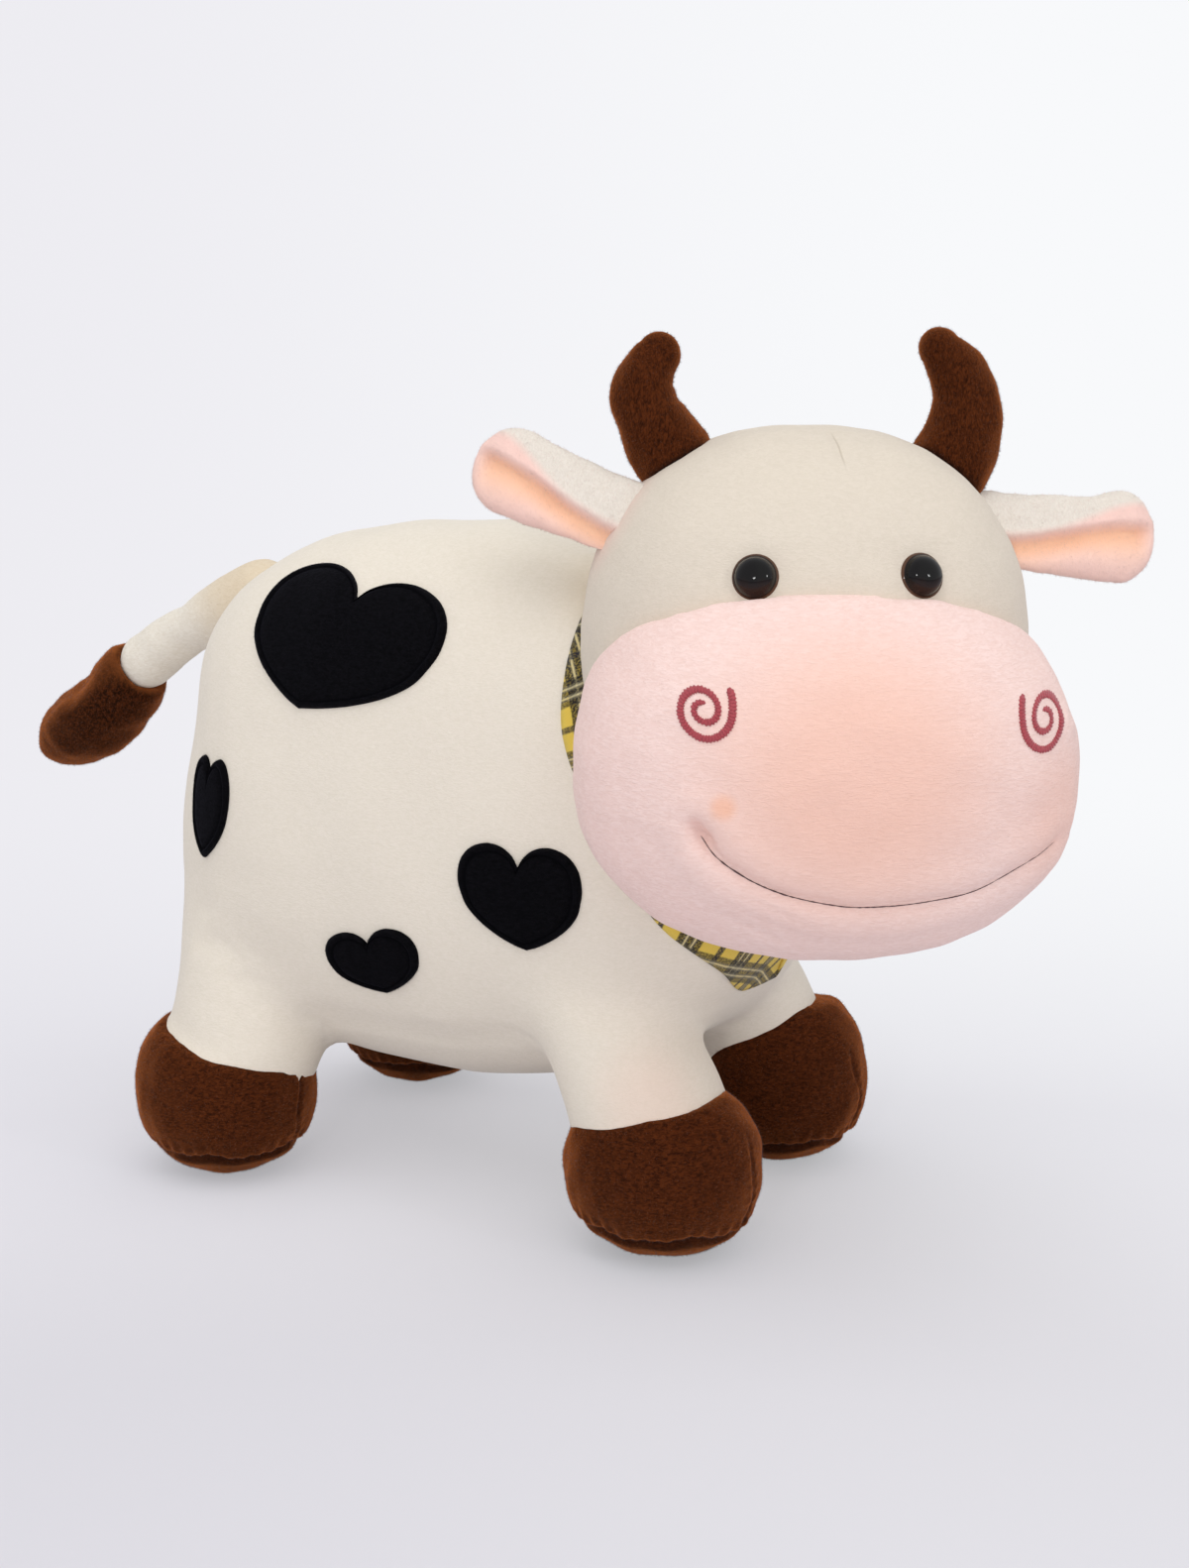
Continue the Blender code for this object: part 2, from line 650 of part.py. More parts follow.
def add_horn(name, side, head_place, head_seam):
    """Horn along a curve that leaves the head, bulges out and comes back in."""
    path, radii = [], []
    crown = HEAD_HEIGHT / 2
    tip_spacing = HORN_TIP_SPACING + 2 * side * HORN_TIP_SIDESTEP
    for ring in range(HORN_RINGS + 1):
        share = ring / HORN_RINGS
        out = bent(HORN_ROOT_SPACING, HORN_BULGE_SPACING, tip_spacing, share) / 2
        up = crown + bent(-HORN_ROOT_DROP, HORN_BULGE_RISE, HORN_TIP_RISE, share)
        path.append((0, side * out, up))
        width = HORN_BASE_WIDTH + (HORN_TIP_WIDTH - HORN_BASE_WIDTH) * share**HORN_TAPER_POWER
        radii.append(width / 2)
    inward, upward = (tip_share * HORN_TIP_WIDTH for tip_share in HORN_TIP_SHARES)
    tip = (0, path[-1][1] - side * inward, path[-1][2] + upward)
    mesh = tube(path, radii, HORN_SIDES, last_tip=tip)
    place = Matrix.Translation((HORN_SIDESTEP, HORN_SETBACK, 0)) @ Matrix.Rotation(-math.pi / 2, 4, "Z")
    horn = add_piece(f"horn_{name}", mesh, "brown", head_place, place)
    shape(horn, head_seam)


def ear_half_width(share):
    """Half of the leaf's width at a share of its length."""
    fullness = math.sin(math.pi / 2 * share / EAR_SWELL_SHARE) ** EAR_SWELL_POWER
    root = EAR_ROOT_WIDTH / 2
    full = EAR_WIDTH / 2
    end = max((share - EAR_ROUND_START_SHARE) / (1 - EAR_ROUND_START_SHARE), 0)
    return (root + (full - root) * fullness) * math.sqrt(1 - end**2)


def ear_back_depth(share):
    """Thickness of the ear's back, which is solid at the stem."""
    stem = max(1 - share / EAR_STEM_SHARE, 0)
    return EAR_BACK_THICKNESS + (EAR_ROOT_THICKNESS - EAR_BACK_THICKNESS) * stem**EAR_STEM_POWER


def ear_leaf(start_share, outer, inner):
    """Leaf along Y between two depths of its lengthwise fold, which opens towards -Z."""
    rows = []
    for ring in range(EAR_RINGS + 1):
        share = start_share + (EAR_TIP_SHARE - start_share) * math.sin(math.pi / 2 * ring / EAR_RINGS)
        radius = EAR_ROOT_CURVE + (EAR_TIP_CURVE - EAR_ROOT_CURVE) * share
        fold = ear_half_width(share) / radius
        row = []
        for depth, order in ((outer(share), 1), (inner(share), -1)):
            reach = radius - depth
            for span in range(EAR_SPANS + 1):
                turn = fold * order * (2 * span / EAR_SPANS - 1)
                place = reach * math.cos(turn) - radius + EAR_FOLD_DEPTH
                row.append((reach * math.sin(turn), share * EAR_LENGTH, place))
        rows.append(row)
    return loft(rows)


def add_ear(name, side, head_place, head):
    """Ear that turns on a ball root: a folded back of plush and its lining."""
    rise = HEAD_HEIGHT / 2 - (LEFT_EAR_DROP if side > 0 else RIGHT_EAR_DROP)
    lift_deg = LEFT_EAR_LIFT_DEG if side > 0 else RIGHT_EAR_LIFT_DEG
    sweep_deg = LEFT_EAR_SWEEP_DEG if side > 0 else RIGHT_EAR_SWEEP_DEG
    point, normal = surface_point(head.data, (side * HEAD_WIDTH, 0, rise), (0, 0, rise))
    point += EAR_STANDOFF * normal
    lift = Matrix.Rotation(-side * math.radians(lift_deg), 4, "Y")
    sweep = Matrix.Rotation(side * math.radians(sweep_deg), 4, "Z")
    outward = Matrix.Rotation(-side * math.pi / 2, 4, "Z")
    roll = Matrix.Rotation(-side * math.radians(90 + EAR_ROLL_DEG), 4, "Y")
    ear_turn = sweep @ lift @ outward @ roll
    place = add_empty(f"ear_place_{name}", Matrix.Translation(point) @ ear_turn, head_place)
    back_mesh = ear_leaf(EAR_ROOT_START_SHARE, lambda share: 0, ear_back_depth)
    back = add_piece(f"ear_back_{name}", back_mesh, "ivory", place)
    root = add_cutter(f"ear_root_{name}", ball(EAR_BALL_DIAMETER / 2), place)
    shape(back, root, operation="UNION")
    seam = EAR_BACK_THICKNESS + SEAM_GAP
    face = seam + EAR_LINING_THICKNESS
    lining_mesh = ear_leaf(EAR_LINING_START_SHARE, lambda share: seam, lambda share: face)
    add_piece(f"ear_lining_{name}", lining_mesh, "pink", place)
    seat = add_cutter(f"ear_seat_{name}", ball(EAR_BALL_DIAMETER / 2 + SWING_GAP), place)
    shape(head, seat)


def tail_path(rings):
    """Points of the tail's middle line, which bends down from its root."""
    step = TAIL_LENGTH / rings
    points = [Vector((0, 0, 0))]
    for ring in range(rings):
        turn = math.radians(TAIL_START_DEG + (TAIL_END_DEG - TAIL_START_DEG) * (ring + 0.5) / rings)
        points.append(points[-1] + step * Vector((0, math.cos(turn), math.sin(turn))))
    return points


def add_tail(torso_place, torso):
    """Tail that lifts on a ball root, and the tuft that swings on its far end."""
    start = (0, TORSO_LENGTH, TAIL_ROOT_RISE)
    point, normal = surface_point(torso.data, start, (0, 0, TAIL_ROOT_RISE))
    place = add_empty("tail_place", Matrix.Translation(point + TAIL_STANDOFF * normal), torso_place)
    path = tail_path(TAIL_RINGS)
    root, end = TAIL_ROOT_DIAMETER / 2, TAIL_END_DIAMETER / 2
    radii = [root + (end - root) * ring / TAIL_RINGS for ring in range(TAIL_RINGS + 1)]
    tail = add_piece("tail_shaft", tube(path, radii, TAIL_SIDES), "ivory", place)
    root_ball = add_cutter("tail_root", ball(root), place)
    tip_place = Matrix.Translation(path[-1]) @ Matrix.Rotation(math.radians(TAIL_END_DEG), 4, "X")
    tip_ball = add_cutter("tail_tip", ball(end), place, tip_place)
    shape(tail, root_ball, tip_ball, operation="UNION")
    seat = add_cutter("tail_seat", ball(root + SWING_GAP), place)
    shape(torso, seat)
    add_tuft(place, tip_place)


def add_tuft(tail_place, tip_place):
    """Tuft: a drop whose cup takes the ball end of the tail."""
    place = add_empty("tuft_place", tip_place, tail_place)
    ball_radius = TAIL_END_DIAMETER / 2 + SWING_GAP
    cup = math.radians(TUFT_CUP_DEG)
    rim_along = ball_radius * math.cos(cup)
    rim = ball_radius * math.sin(cup) + TUFT_WALL
    profile = [(0, rim_along), (rim, rim_along)]
    swell_length = TUFT_SWELL_SHARE * TUFT_LENGTH
    radius = TUFT_DIAMETER / 2
    for ring in range(1, TUFT_RINGS + 1):
        turn = math.pi / 2 * ring / TUFT_RINGS
        along = rim_along + swell_length * (1 - math.cos(turn))
        profile.append((rim + (radius - rim) * math.sin(turn), along))
    for ring in range(1, BALL_RINGS + 1):
        turn = math.pi / 2 * ring / BALL_RINGS
        along = rim_along + swell_length + (TUFT_LENGTH - swell_length) * math.sin(turn)
        profile.append((radius * math.cos(turn), along))
    tuft = add_piece("tail_tuft", turned(profile, TAIL_SIDES), "brown", place)
    cup_ball = add_cutter("tuft_cup", ball(ball_radius), place)
    shape(tuft, cup_ball)


def extruded(outline, depth):
    """Prism of an outline in XZ, as deep on both sides of zero."""
    front = [(across, -depth, up) for across, up in outline]
    back = [(across, depth, up) for across, up in outline]
    return loft([front, back])


def heart_outline(width, height):
    """Outline of a heart with two round lobes over a point."""
    points = []
    for step in range(HEART_POINTS):
        turn = 2 * math.pi * (step + 0.5) / HEART_POINTS
        across = math.sin(turn) * abs(math.sin(turn))
        waves = (wave * math.cos((order + 1) * turn) for order, wave in enumerate(HEART_WAVE_SHARES))
        points.append((across * width / 2, (sum(waves) + HEART_RISE_SHARE) * height))
    return points


def add_layer(name, color, outline_mesh, place, parent, thickness, over, under):
    """Cloth on the torso: an outline cut between two grown copies of it."""
    piece = add_piece(name, outline_mesh, color, parent, place)
    top = add_cutter(f"{name}_top", grown(over, SEAM_GAP + thickness), parent)
    shape(piece, top, operation="INTERSECT")
    shape(piece, under)
    return piece


def add_hearts(torso_place, torso, torso_seam):
    """Heart patches, each square to the torso where it sits."""
    for name, (width, height) in HEART_SIZES.items():
        azimuth, elevation, roll = (math.radians(angle) for angle in HEART_DIRECTIONS_DEG[name])
        level = math.cos(elevation)
        facing = Vector((level * math.cos(azimuth), level * math.sin(azimuth), math.sin(elevation)))
        target = Vector((0, (HEART_ALONG_SHARES[name] - 0.5) * TORSO_LENGTH, 0))
        point, normal = surface_point(torso.data, target + facing * TORSO_LENGTH, target)
        prism = extruded(heart_outline(width, height), PATCH_CUT_DEPTH)
        place = aimed(point, normal, roll)
        add_layer(name, "black", prism, place, torso_place, PATCH_THICKNESS, torso.data, torso_seam)


def kerchief_outline():
    """Outline round the neck that runs out to the hanging corner."""
    points = []
    for step in range(KERCHIEF_POINTS + 1):
        turn = math.pi * step / KERCHIEF_POINTS
        points.append((KERCHIEF_BAND_RADIUS * math.cos(turn), KERCHIEF_BAND_RADIUS * math.sin(turn)))
    shares = [step / KERCHIEF_POINTS for step in range(1, KERCHIEF_POINTS)]
    radius = KERCHIEF_BAND_RADIUS
    corner = (KERCHIEF_CORNER_SIDESTEP, -KERCHIEF_CORNER_DROP)
    right_bend = (-radius, -KERCHIEF_RIGHT_DROP)
    left_bend = (radius - KERCHIEF_LEFT_INSET, -KERCHIEF_LEFT_DROP)
    points += [kerchief_edge(-radius, right_bend, corner, share) for share in shares]
    points.append(corner)
    points += [kerchief_edge(radius, left_bend, corner, share) for share in reversed(shares)]
    return points


def kerchief_edge(side, bend, corner, share):
    """Point of the edge that runs down from a side and bends in to the corner."""
    return (bent(side, bend[0], corner[0], share), bent(0, bend[1], corner[1], share))


def add_kerchief(torso_place, torso, torso_seam, head_seam, muzzle_seam):
    """Neckerchief that lies on the torso round the head."""
    axis = Vector((HEAD_SIDESTEP, -TORSO_LENGTH / 2, HEAD_RISE))
    point, _ = surface_point(torso.data, 2 * axis, (0, 0, 0))
    place = aimed(Vector((0, 0, 0)), axis) @ Matrix.Translation((0, -(point.length - KERCHIEF_DEPTH / 2), 0))
    prism = extruded(kerchief_outline(), KERCHIEF_DEPTH / 2 + CUT_OVERRUN)
    cloth = add_layer(
        "neckerchief", "checked", prism, place, torso_place, KERCHIEF_THICKNESS, torso.data, torso_seam
    )
    shape(cloth, muzzle_seam, head_seam)


def stand_on_origin(cow):
    """Moves the cow so that the middle of its bounding box's bottom is the origin."""
    bpy.context.view_layer.update()
    graph = bpy.context.evaluated_depsgraph_get()
    corners = []
    for piece in bpy.data.objects:
        if piece.type != "MESH" or piece.hide_render:
            continue
        shaped = piece.evaluated_get(graph)
        corners += [piece.matrix_world @ vertex.co for vertex in shaped.data.vertices]
    low = np.min(corners, axis=0)
    high = np.max(corners, axis=0)
    cow.location -= Vector(((low[0] + high[0]) / 2, (low[1] + high[1]) / 2, low[2]))
    bpy.context.view_layer.update()


def main():
    for old in list(bpy.data.objects):
        bpy.data.objects.remove(old)
    cow = add_empty("cow_place", Matrix.Identity(4))
    torso_place, torso, torso_seam = add_torso(cow)
    head_place, head, head_seam = add_head(cow)
    muzzle, muzzle_seam = add_muzzle(head_place)
    shape(head, torso_seam)
    shape(muzzle, head_seam, torso_seam)
    for name, side in (("right", -1), ("left", 1)):
        add_eye(name, side, head_place, head, muzzle)
        add_horn(name, side, head_place, head_seam)
        add_ear(name, side, head_place, head)
        add_leg(f"front_{name}", side, -1, cow, torso_seam)
        add_leg(f"rear_{name}", side, 1, cow, torso_seam)
    add_tail(torso_place, torso)
    add_hearts(torso_place, torso, torso_seam)
    add_kerchief(torso_place, torso, torso_seam, head_seam, muzzle_seam)
    stand_on_origin(cow)


main()
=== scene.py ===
"""Plush cow with stuffed skins, embroidery and soft studio light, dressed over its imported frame."""

import json
import math
from contextlib import contextmanager

import bmesh
import bpy
import numpy as np
from mathutils import Matrix, Vector
from mathutils.bvhtree import BVHTree


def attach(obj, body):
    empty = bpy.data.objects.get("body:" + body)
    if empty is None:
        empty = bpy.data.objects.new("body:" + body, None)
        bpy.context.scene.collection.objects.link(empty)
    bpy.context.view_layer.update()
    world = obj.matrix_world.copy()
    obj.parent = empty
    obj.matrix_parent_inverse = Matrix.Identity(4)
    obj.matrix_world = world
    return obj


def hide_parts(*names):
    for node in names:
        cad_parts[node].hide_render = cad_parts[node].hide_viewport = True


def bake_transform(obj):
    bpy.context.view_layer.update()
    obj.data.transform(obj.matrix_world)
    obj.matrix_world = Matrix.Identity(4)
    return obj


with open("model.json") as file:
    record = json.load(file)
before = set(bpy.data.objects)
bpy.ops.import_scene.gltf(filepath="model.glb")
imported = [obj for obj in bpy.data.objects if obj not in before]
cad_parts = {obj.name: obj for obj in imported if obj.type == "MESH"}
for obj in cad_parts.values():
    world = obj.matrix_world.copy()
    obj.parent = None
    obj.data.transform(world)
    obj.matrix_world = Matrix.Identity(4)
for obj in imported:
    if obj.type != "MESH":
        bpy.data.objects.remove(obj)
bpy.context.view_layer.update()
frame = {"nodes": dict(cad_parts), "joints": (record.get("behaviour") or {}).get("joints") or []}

MM = 0.001
# Distance below which vertices are merged.
MERGED = 0.01 * MM
STUFFING_FRAMES = 20
STUFFING_PRESSURE = 4
# Places that the source gives, in the row frame.
TORSO_PLACE = Matrix.Translation((0.01032, -0.00186, 0.1435))
TORSO_LENGTH = 256 * MM
HEAD_PLACE = Matrix.Translation((-0.01068, -0.12686, 0.2065)) @ Matrix.Rotation(math.radians(-55.5), 4, "Z")
MUZZLE_PLACE = (
    HEAD_PLACE
    @ Matrix.Translation((0, -42 * MM, -31 * MM))
    @ Matrix.Rotation(math.radians(6), 4, "X")
    @ Matrix.Rotation(math.radians(2), 4, "Y")
)
# The way that shows as right in the photograph: forward and a little to the cow's left.
AHEAD = np.array([0.485, -0.875, 0])
FEET = ("front_left", "front_right", "rear_left", "rear_right")


def to_world(points, place):
    """Points of a local frame, as rows or as a grid, in the row frame."""
    turn = np.array(place.to_3x3())
    return (points.reshape(-1, 3) @ turn.T + np.array(place.translation)).reshape(points.shape)


def to_local(points, place):
    """Points of the row frame, as rows, in a local frame."""
    return to_world(points, place.inverted())


def smoothstep(low, high, values):
    """0 below low, 1 above high, and a smooth rise between them."""
    share = np.clip((values - low) / (high - low), 0, 1)
    return share * share * (3 - 2 * share)


def rise(low, high, values):
    """Smoothstep between two limits in millimetres."""
    return smoothstep(low * MM, high * MM, values)


def bell(values, width, centre=0):
    """1 at a centre and fading out on both sides of it by exp(-x²), over a width; both in millimetres."""
    return np.exp(-(((values - centre * MM) / (width * MM)) ** 2))


def lengths(rows):
    """Length of each row."""
    return np.linalg.norm(rows, axis=1)


def unit(rows):
    """Vector, or each row of vectors, made 1 long."""
    return rows / np.linalg.norm(rows, axis=-1, keepdims=True)


def around(count):
    """Evenly spaced angles round a circle."""
    return np.linspace(0, math.tau, count, endpoint=False)


def band(path, offset):
    """Places beside a flat path: each of its points moved square to it by a row of offsets."""
    run = np.gradient(path, axis=0)
    side = unit(np.stack([-run[:, 1], run[:, 0]], 1))
    return path[:, None] + offset[..., None] * side[:, None]


def listed(items, name, width=3, kind=float):
    """One property of all items of a mesh, as rows."""
    flat = np.empty(len(items) * width, dtype=kind)
    items.foreach_get(name, flat)
    return flat.reshape(-1, width)


def coordinates(mesh):
    """Vertex places of a mesh, as rows."""
    return listed(mesh.vertices, "co")


def vertex_normals(mesh):
    """Vertex normals of a mesh, as rows."""
    return listed(mesh.vertex_normals, "vector")


def mesh_edges(mesh):
    """Edges of a mesh as pairs of vertex numbers."""
    return listed(mesh.edges, "vertices", 2, np.int64)


def set_coordinates(mesh, points):
    """Moves the vertices of a mesh to new places."""
    mesh.vertices.foreach_set("co", np.ascontiguousarray(points, dtype=np.float64).ravel())
    mesh.update()


def set_attribute(mesh, name, values):
    """Stores one number for each vertex, for a material to read."""
    attribute = mesh.attributes.get(name) or mesh.attributes.new(name, "FLOAT", "POINT")
    attribute.data.foreach_set("value", np.ascontiguousarray(values, dtype=np.float64))


def linked(name, data):
    """Object that holds some data, in the scene."""
    piece = bpy.data.objects.new(name, data)
    bpy.context.scene.collection.objects.link(piece)
    return piece


def add_object(name, mesh, finish=None):
    """Object at the origin that shows a mesh smoothly."""
    piece = linked(name, mesh)
    mesh.polygons.foreach_set("use_smooth", np.ones(len(mesh.polygons), dtype=bool))
    if finish:
        mesh.materials.clear()
        mesh.materials.append(finish)
    return piece


def baked(piece):
    """Mesh of an object with its modifiers applied."""
    bpy.context.view_layer.update()
    graph = bpy.context.evaluated_depsgraph_get()
    return bpy.data.meshes.new_from_object(piece.evaluated_get(graph))


def node_points(node):
    """Vertex places of a CAD node."""
    return coordinates(frame["nodes"][node].data)


@contextmanager
def opened(source, target=None):
    """Shell of a mesh to work on, written back to it, or to another mesh, when the work is done."""
    shell = bmesh.new()
    shell.from_mesh(source)
    yield shell
    shell.to_mesh(source if target is None else target)
    shell.free()


def node_copy(node):
    """Copy of a CAD node's mesh with its loose triangles merged."""
    mesh = bpy.data.meshes.new("copy")
    with opened(frame["nodes"][node].data, mesh) as shell:
        bmesh.ops.remove_doubles(shell, verts=shell.verts, dist=MERGED)
    return mesh


def hull_copy(*nodes):
    """Convex hull of CAD nodes, which fills the seats and bores cut into them."""
    mesh = bpy.data.meshes.new("hull")
    mesh.from_pydata(np.concatenate([node_points(node) for node in nodes]), [], [])
    with opened(mesh) as shell:
        bmesh.ops.remove_doubles(shell, verts=shell.verts, dist=MERGED)
        bmesh.ops.convex_hull(shell, input=shell.verts)
        bmesh.ops.delete(shell, geom=[corner for corner in shell.verts if not corner.link_faces], context="VERTS")
        bmesh.ops.recalc_face_normals(shell, faces=shell.faces)
    return mesh


def moved_out(mesh, gap):
    """Mesh with each vertex moved out along its normal by a gap, or in by a negative one."""
    set_coordinates(mesh, coordinates(mesh) + gap * vertex_normals(mesh))
    return mesh


def skin(name, meshes, voxel, finish):
    """One closed skin of even small faces around several overlapping meshes."""
    shell = bmesh.new()
    for mesh in meshes:
        shell.from_mesh(mesh)
    joined = bpy.data.meshes.new(name)
    shell.to_mesh(joined)
    shell.free()
    rough = add_object(name, joined)
    remesh = rough.modifiers.new("remesh", "REMESH")
    remesh.mode = "VOXEL"
    remesh.voxel_size = voxel
    mesh = baked(rough)
    bpy.data.objects.remove(rough)
    mesh.name = name
    return add_object(name, mesh, finish)


def mean_of_neighbours(points, edges):
    """Mean place of the points that share an edge with each point."""
    count = np.bincount(edges.ravel(), minlength=len(points))[:, None]
    total = np.empty_like(points)
    for axis in range(3):
        total[:, axis] = np.bincount(edges[:, 0], points[edges[:, 1], axis], len(points))
        total[:, axis] += np.bincount(edges[:, 1], points[edges[:, 0], axis], len(points))
    return total / np.maximum(count, 1)


def relax(piece, rounds, weight=1.0):
    """Moves each vertex half way to the mean of its neighbours and back again a little further, as often as
    rounds says, by a weight that may differ from vertex to vertex."""
    points, edges = coordinates(piece.data), mesh_edges(piece.data)
    weight = np.broadcast_to(np.asarray(weight, dtype=float), len(points))[:, None]
    for _ in range(rounds):
        for step in (0.5, -0.52):
            points = points + step * weight * (mean_of_neighbours(points, edges) - points)
    set_coordinates(piece.data, points)


def fill_creases(piece, rounds, weight):
    """Fills inward creases only: a vertex moves to the mean of its neighbours where that lies outside."""
    edges = mesh_edges(piece.data)
    for _ in range(rounds):
        points, normals = coordinates(piece.data), vertex_normals(piece.data)
        lift = ((mean_of_neighbours(points, edges) - points) * normals).sum(1)
        set_coordinates(piece.data, points + (0.8 * weight * np.maximum(lift, 0))[:, None] * normals)


def push(piece, depth):
    """Moves each vertex along its normal by its own depth."""
    set_coordinates(piece.data, coordinates(piece.data) + np.asarray(depth)[:, None] * vertex_normals(piece.data))


def subdivided(piece):
    """Applies one level of subdivision surface."""
    smooth = piece.modifiers.new("subdivision", "SUBSURF")
    smooth.levels = smooth.render_levels = 1
    mesh = baked(piece)
    finish = list(piece.data.materials)
    piece.modifiers.clear()
    piece.data = mesh
    mesh.materials.clear()
    for each in finish:
        mesh.materials.append(each)


def stuff(piece, swell, pinned=None):
    """Lets cloth simulation swell a skin from inside, by no more than swell, and applies the result."""
    rest = coordinates(piece.data)
    cloth = piece.modifiers.new("cloth", "CLOTH")
    cloth.settings.use_pressure = True
    cloth.settings.uniform_pressure_force = STUFFING_PRESSURE
    cloth.settings.effector_weights.gravity = 0
    cloth.settings.quality = 4
    cloth.point_cache.frame_start = 1
    cloth.point_cache.frame_end = STUFFING_FRAMES
    if pinned is not None:
        group = piece.vertex_groups.new(name="held")
        group.add(np.flatnonzero(pinned > 0.5).tolist(), 1, "REPLACE")
        cloth.settings.vertex_group_mass = "held"
    for step in range(1, STUFFING_FRAMES + 1):
        bpy.context.scene.frame_set(step)
    moved = coordinates(baked(piece))
    piece.modifiers.clear()
    piece.vertex_groups.clear()
    bpy.context.scene.frame_set(1)
    shift = moved - rest
    reach = np.maximum(np.linalg.norm(shift, axis=1, keepdims=True), 1e-9)
    set_coordinates(piece.data, rest + shift / reach * swell * np.tanh(reach / swell))


def wrapped(points, place, target, method="PROJECT"):
    """Local points laid on a target: down the place's own Z, or to the nearest point of its surface."""
    mesh = bpy.data.meshes.new("wrap")
    mesh.from_pydata(points, [], [])
    helper = linked("wrap", mesh)
    helper.matrix_world = place
    wrap = helper.modifiers.new("wrap", "SHRINKWRAP")
    wrap.target = target
    wrap.wrap_method = method
    if method == "PROJECT":
        wrap.use_project_z = True
        wrap.use_negative_direction = True
        wrap.use_positive_direction = False
    on = coordinates(baked(helper))
    bpy.data.objects.remove(helper)
    return on


def laid(flat, drop, lift, place, target):
    """Grid of flat points of a place that drops along its Z onto a target and lies a lift above it, in the row
    frame."""
    local = np.concatenate([flat, np.full((*flat.shape[:2], 1), drop * MM)], -1)
    on = wrapped(local.reshape(-1, 3), place, target).reshape(local.shape)
    on[..., 2] += lift
    return to_world(on, place)


def stuffed(name, nodes, voxel, finish, rounds, swell):
    """Skin of even faces round CAD nodes, smoothed, stuffed and made finer; its face size and how far it may swell
    are in millimetres."""
    piece = skin(name, [hull_copy(*nodes)], voxel * MM, finish)
    relax(piece, rounds)
    stuff(piece, swell * MM)
    subdivided(piece)
    return piece


def gap_to(piece, target):
    """Distance of each vertex of a piece from the nearest point of a target's surface."""
    points = coordinates(piece.data)
    return lengths(wrapped(points, Matrix(), target, "NEAREST_SURFACEPOINT") - points)


def grid_faces(rows, columns):
    """Quads of a grid of points whose rows are rings."""
    index = np.arange(rows * columns).reshape(rows, columns)
    index = np.hstack([index, index[:, :1]])
    return np.stack([index[:-1, :-1], index[:-1, 1:], index[1:, 1:], index[1:, :-1]], -1).reshape(-1, 4)


def surface(name, points, finish, attributes=None, uv=None, closed=True):
    """Piece from a grid of points whose rows are rings. Doubled points, as at a pole, are merged, and a closed
    shell faces out."""
    mesh = bpy.data.meshes.new(name)
    mesh.from_pydata(points.reshape(-1, 3), [], grid_faces(*points.shape[:2]))
    for key, values in (attributes or {}).items():
        set_attribute(mesh, key, np.asarray(values).ravel())
    if uv is not None:
        corners = listed(mesh.loops, "vertex_index", 1, np.int64).ravel()
        layer = mesh.uv_layers.new(name="flat")
        layer.data.foreach_set("uv", np.ascontiguousarray(uv.reshape(-1, 2)[corners]).ravel())
    with opened(mesh) as shell:
        bmesh.ops.remove_doubles(shell, verts=shell.verts, dist=1e-6)
        if closed:
            bmesh.ops.recalc_face_normals(shell, faces=shell.faces)
    return add_object(name, mesh, finish)


def track(points, count):
    """Evenly spaced places on a smooth curve through a few points."""
    points = np.asarray(points, dtype=float)
    ends = np.vstack([2 * points[0] - points[1], points, 2 * points[-1] - points[-2]])
    share = np.linspace(0, len(points) - 1, 20 * len(points))
    start = np.minimum(share.astype(int), len(points) - 2)
    t = (share - start)[:, None]
    a, b, c, d = (ends[start + k] for k in range(4))
    curve = 0.5 * (2 * b + (c - a) * t + (2 * a - 5 * b + 4 * c - d) * t**2 + (3 * b - a - 3 * c + d) * t**3)
    run = np.concatenate([[0], np.cumsum(lengths(np.diff(curve, axis=0)))])
    at = np.linspace(0, run[-1], count)
    return np.stack([np.interp(at, run, curve[:, axis]) for axis in range(curve.shape[1])], 1)


def ripple(points, scale, seed):
    """Soft uneven waves between about -1 and 1: a sum of sines along eight seeded directions."""
    chance = np.random.default_rng(seed)
    total = np.zeros(len(points))
    for _ in range(8):
        direction = chance.normal(size=3)
        direction *= (0.6 + 0.8 * chance.random()) * math.tau / scale / np.linalg.norm(direction)
        total += np.sin(points @ direction + chance.random() * math.tau)
    return total / 3.2


def linear(shade):
    """Linear colour from red, green and blue as they show, from 0 to 255."""
    shown = [channel / 255 for channel in shade]
    return tuple(c / 12.92 if c <= 0.04045 else ((c + 0.055) / 1.055) ** 2.4 for c in shown) + (1.0,)


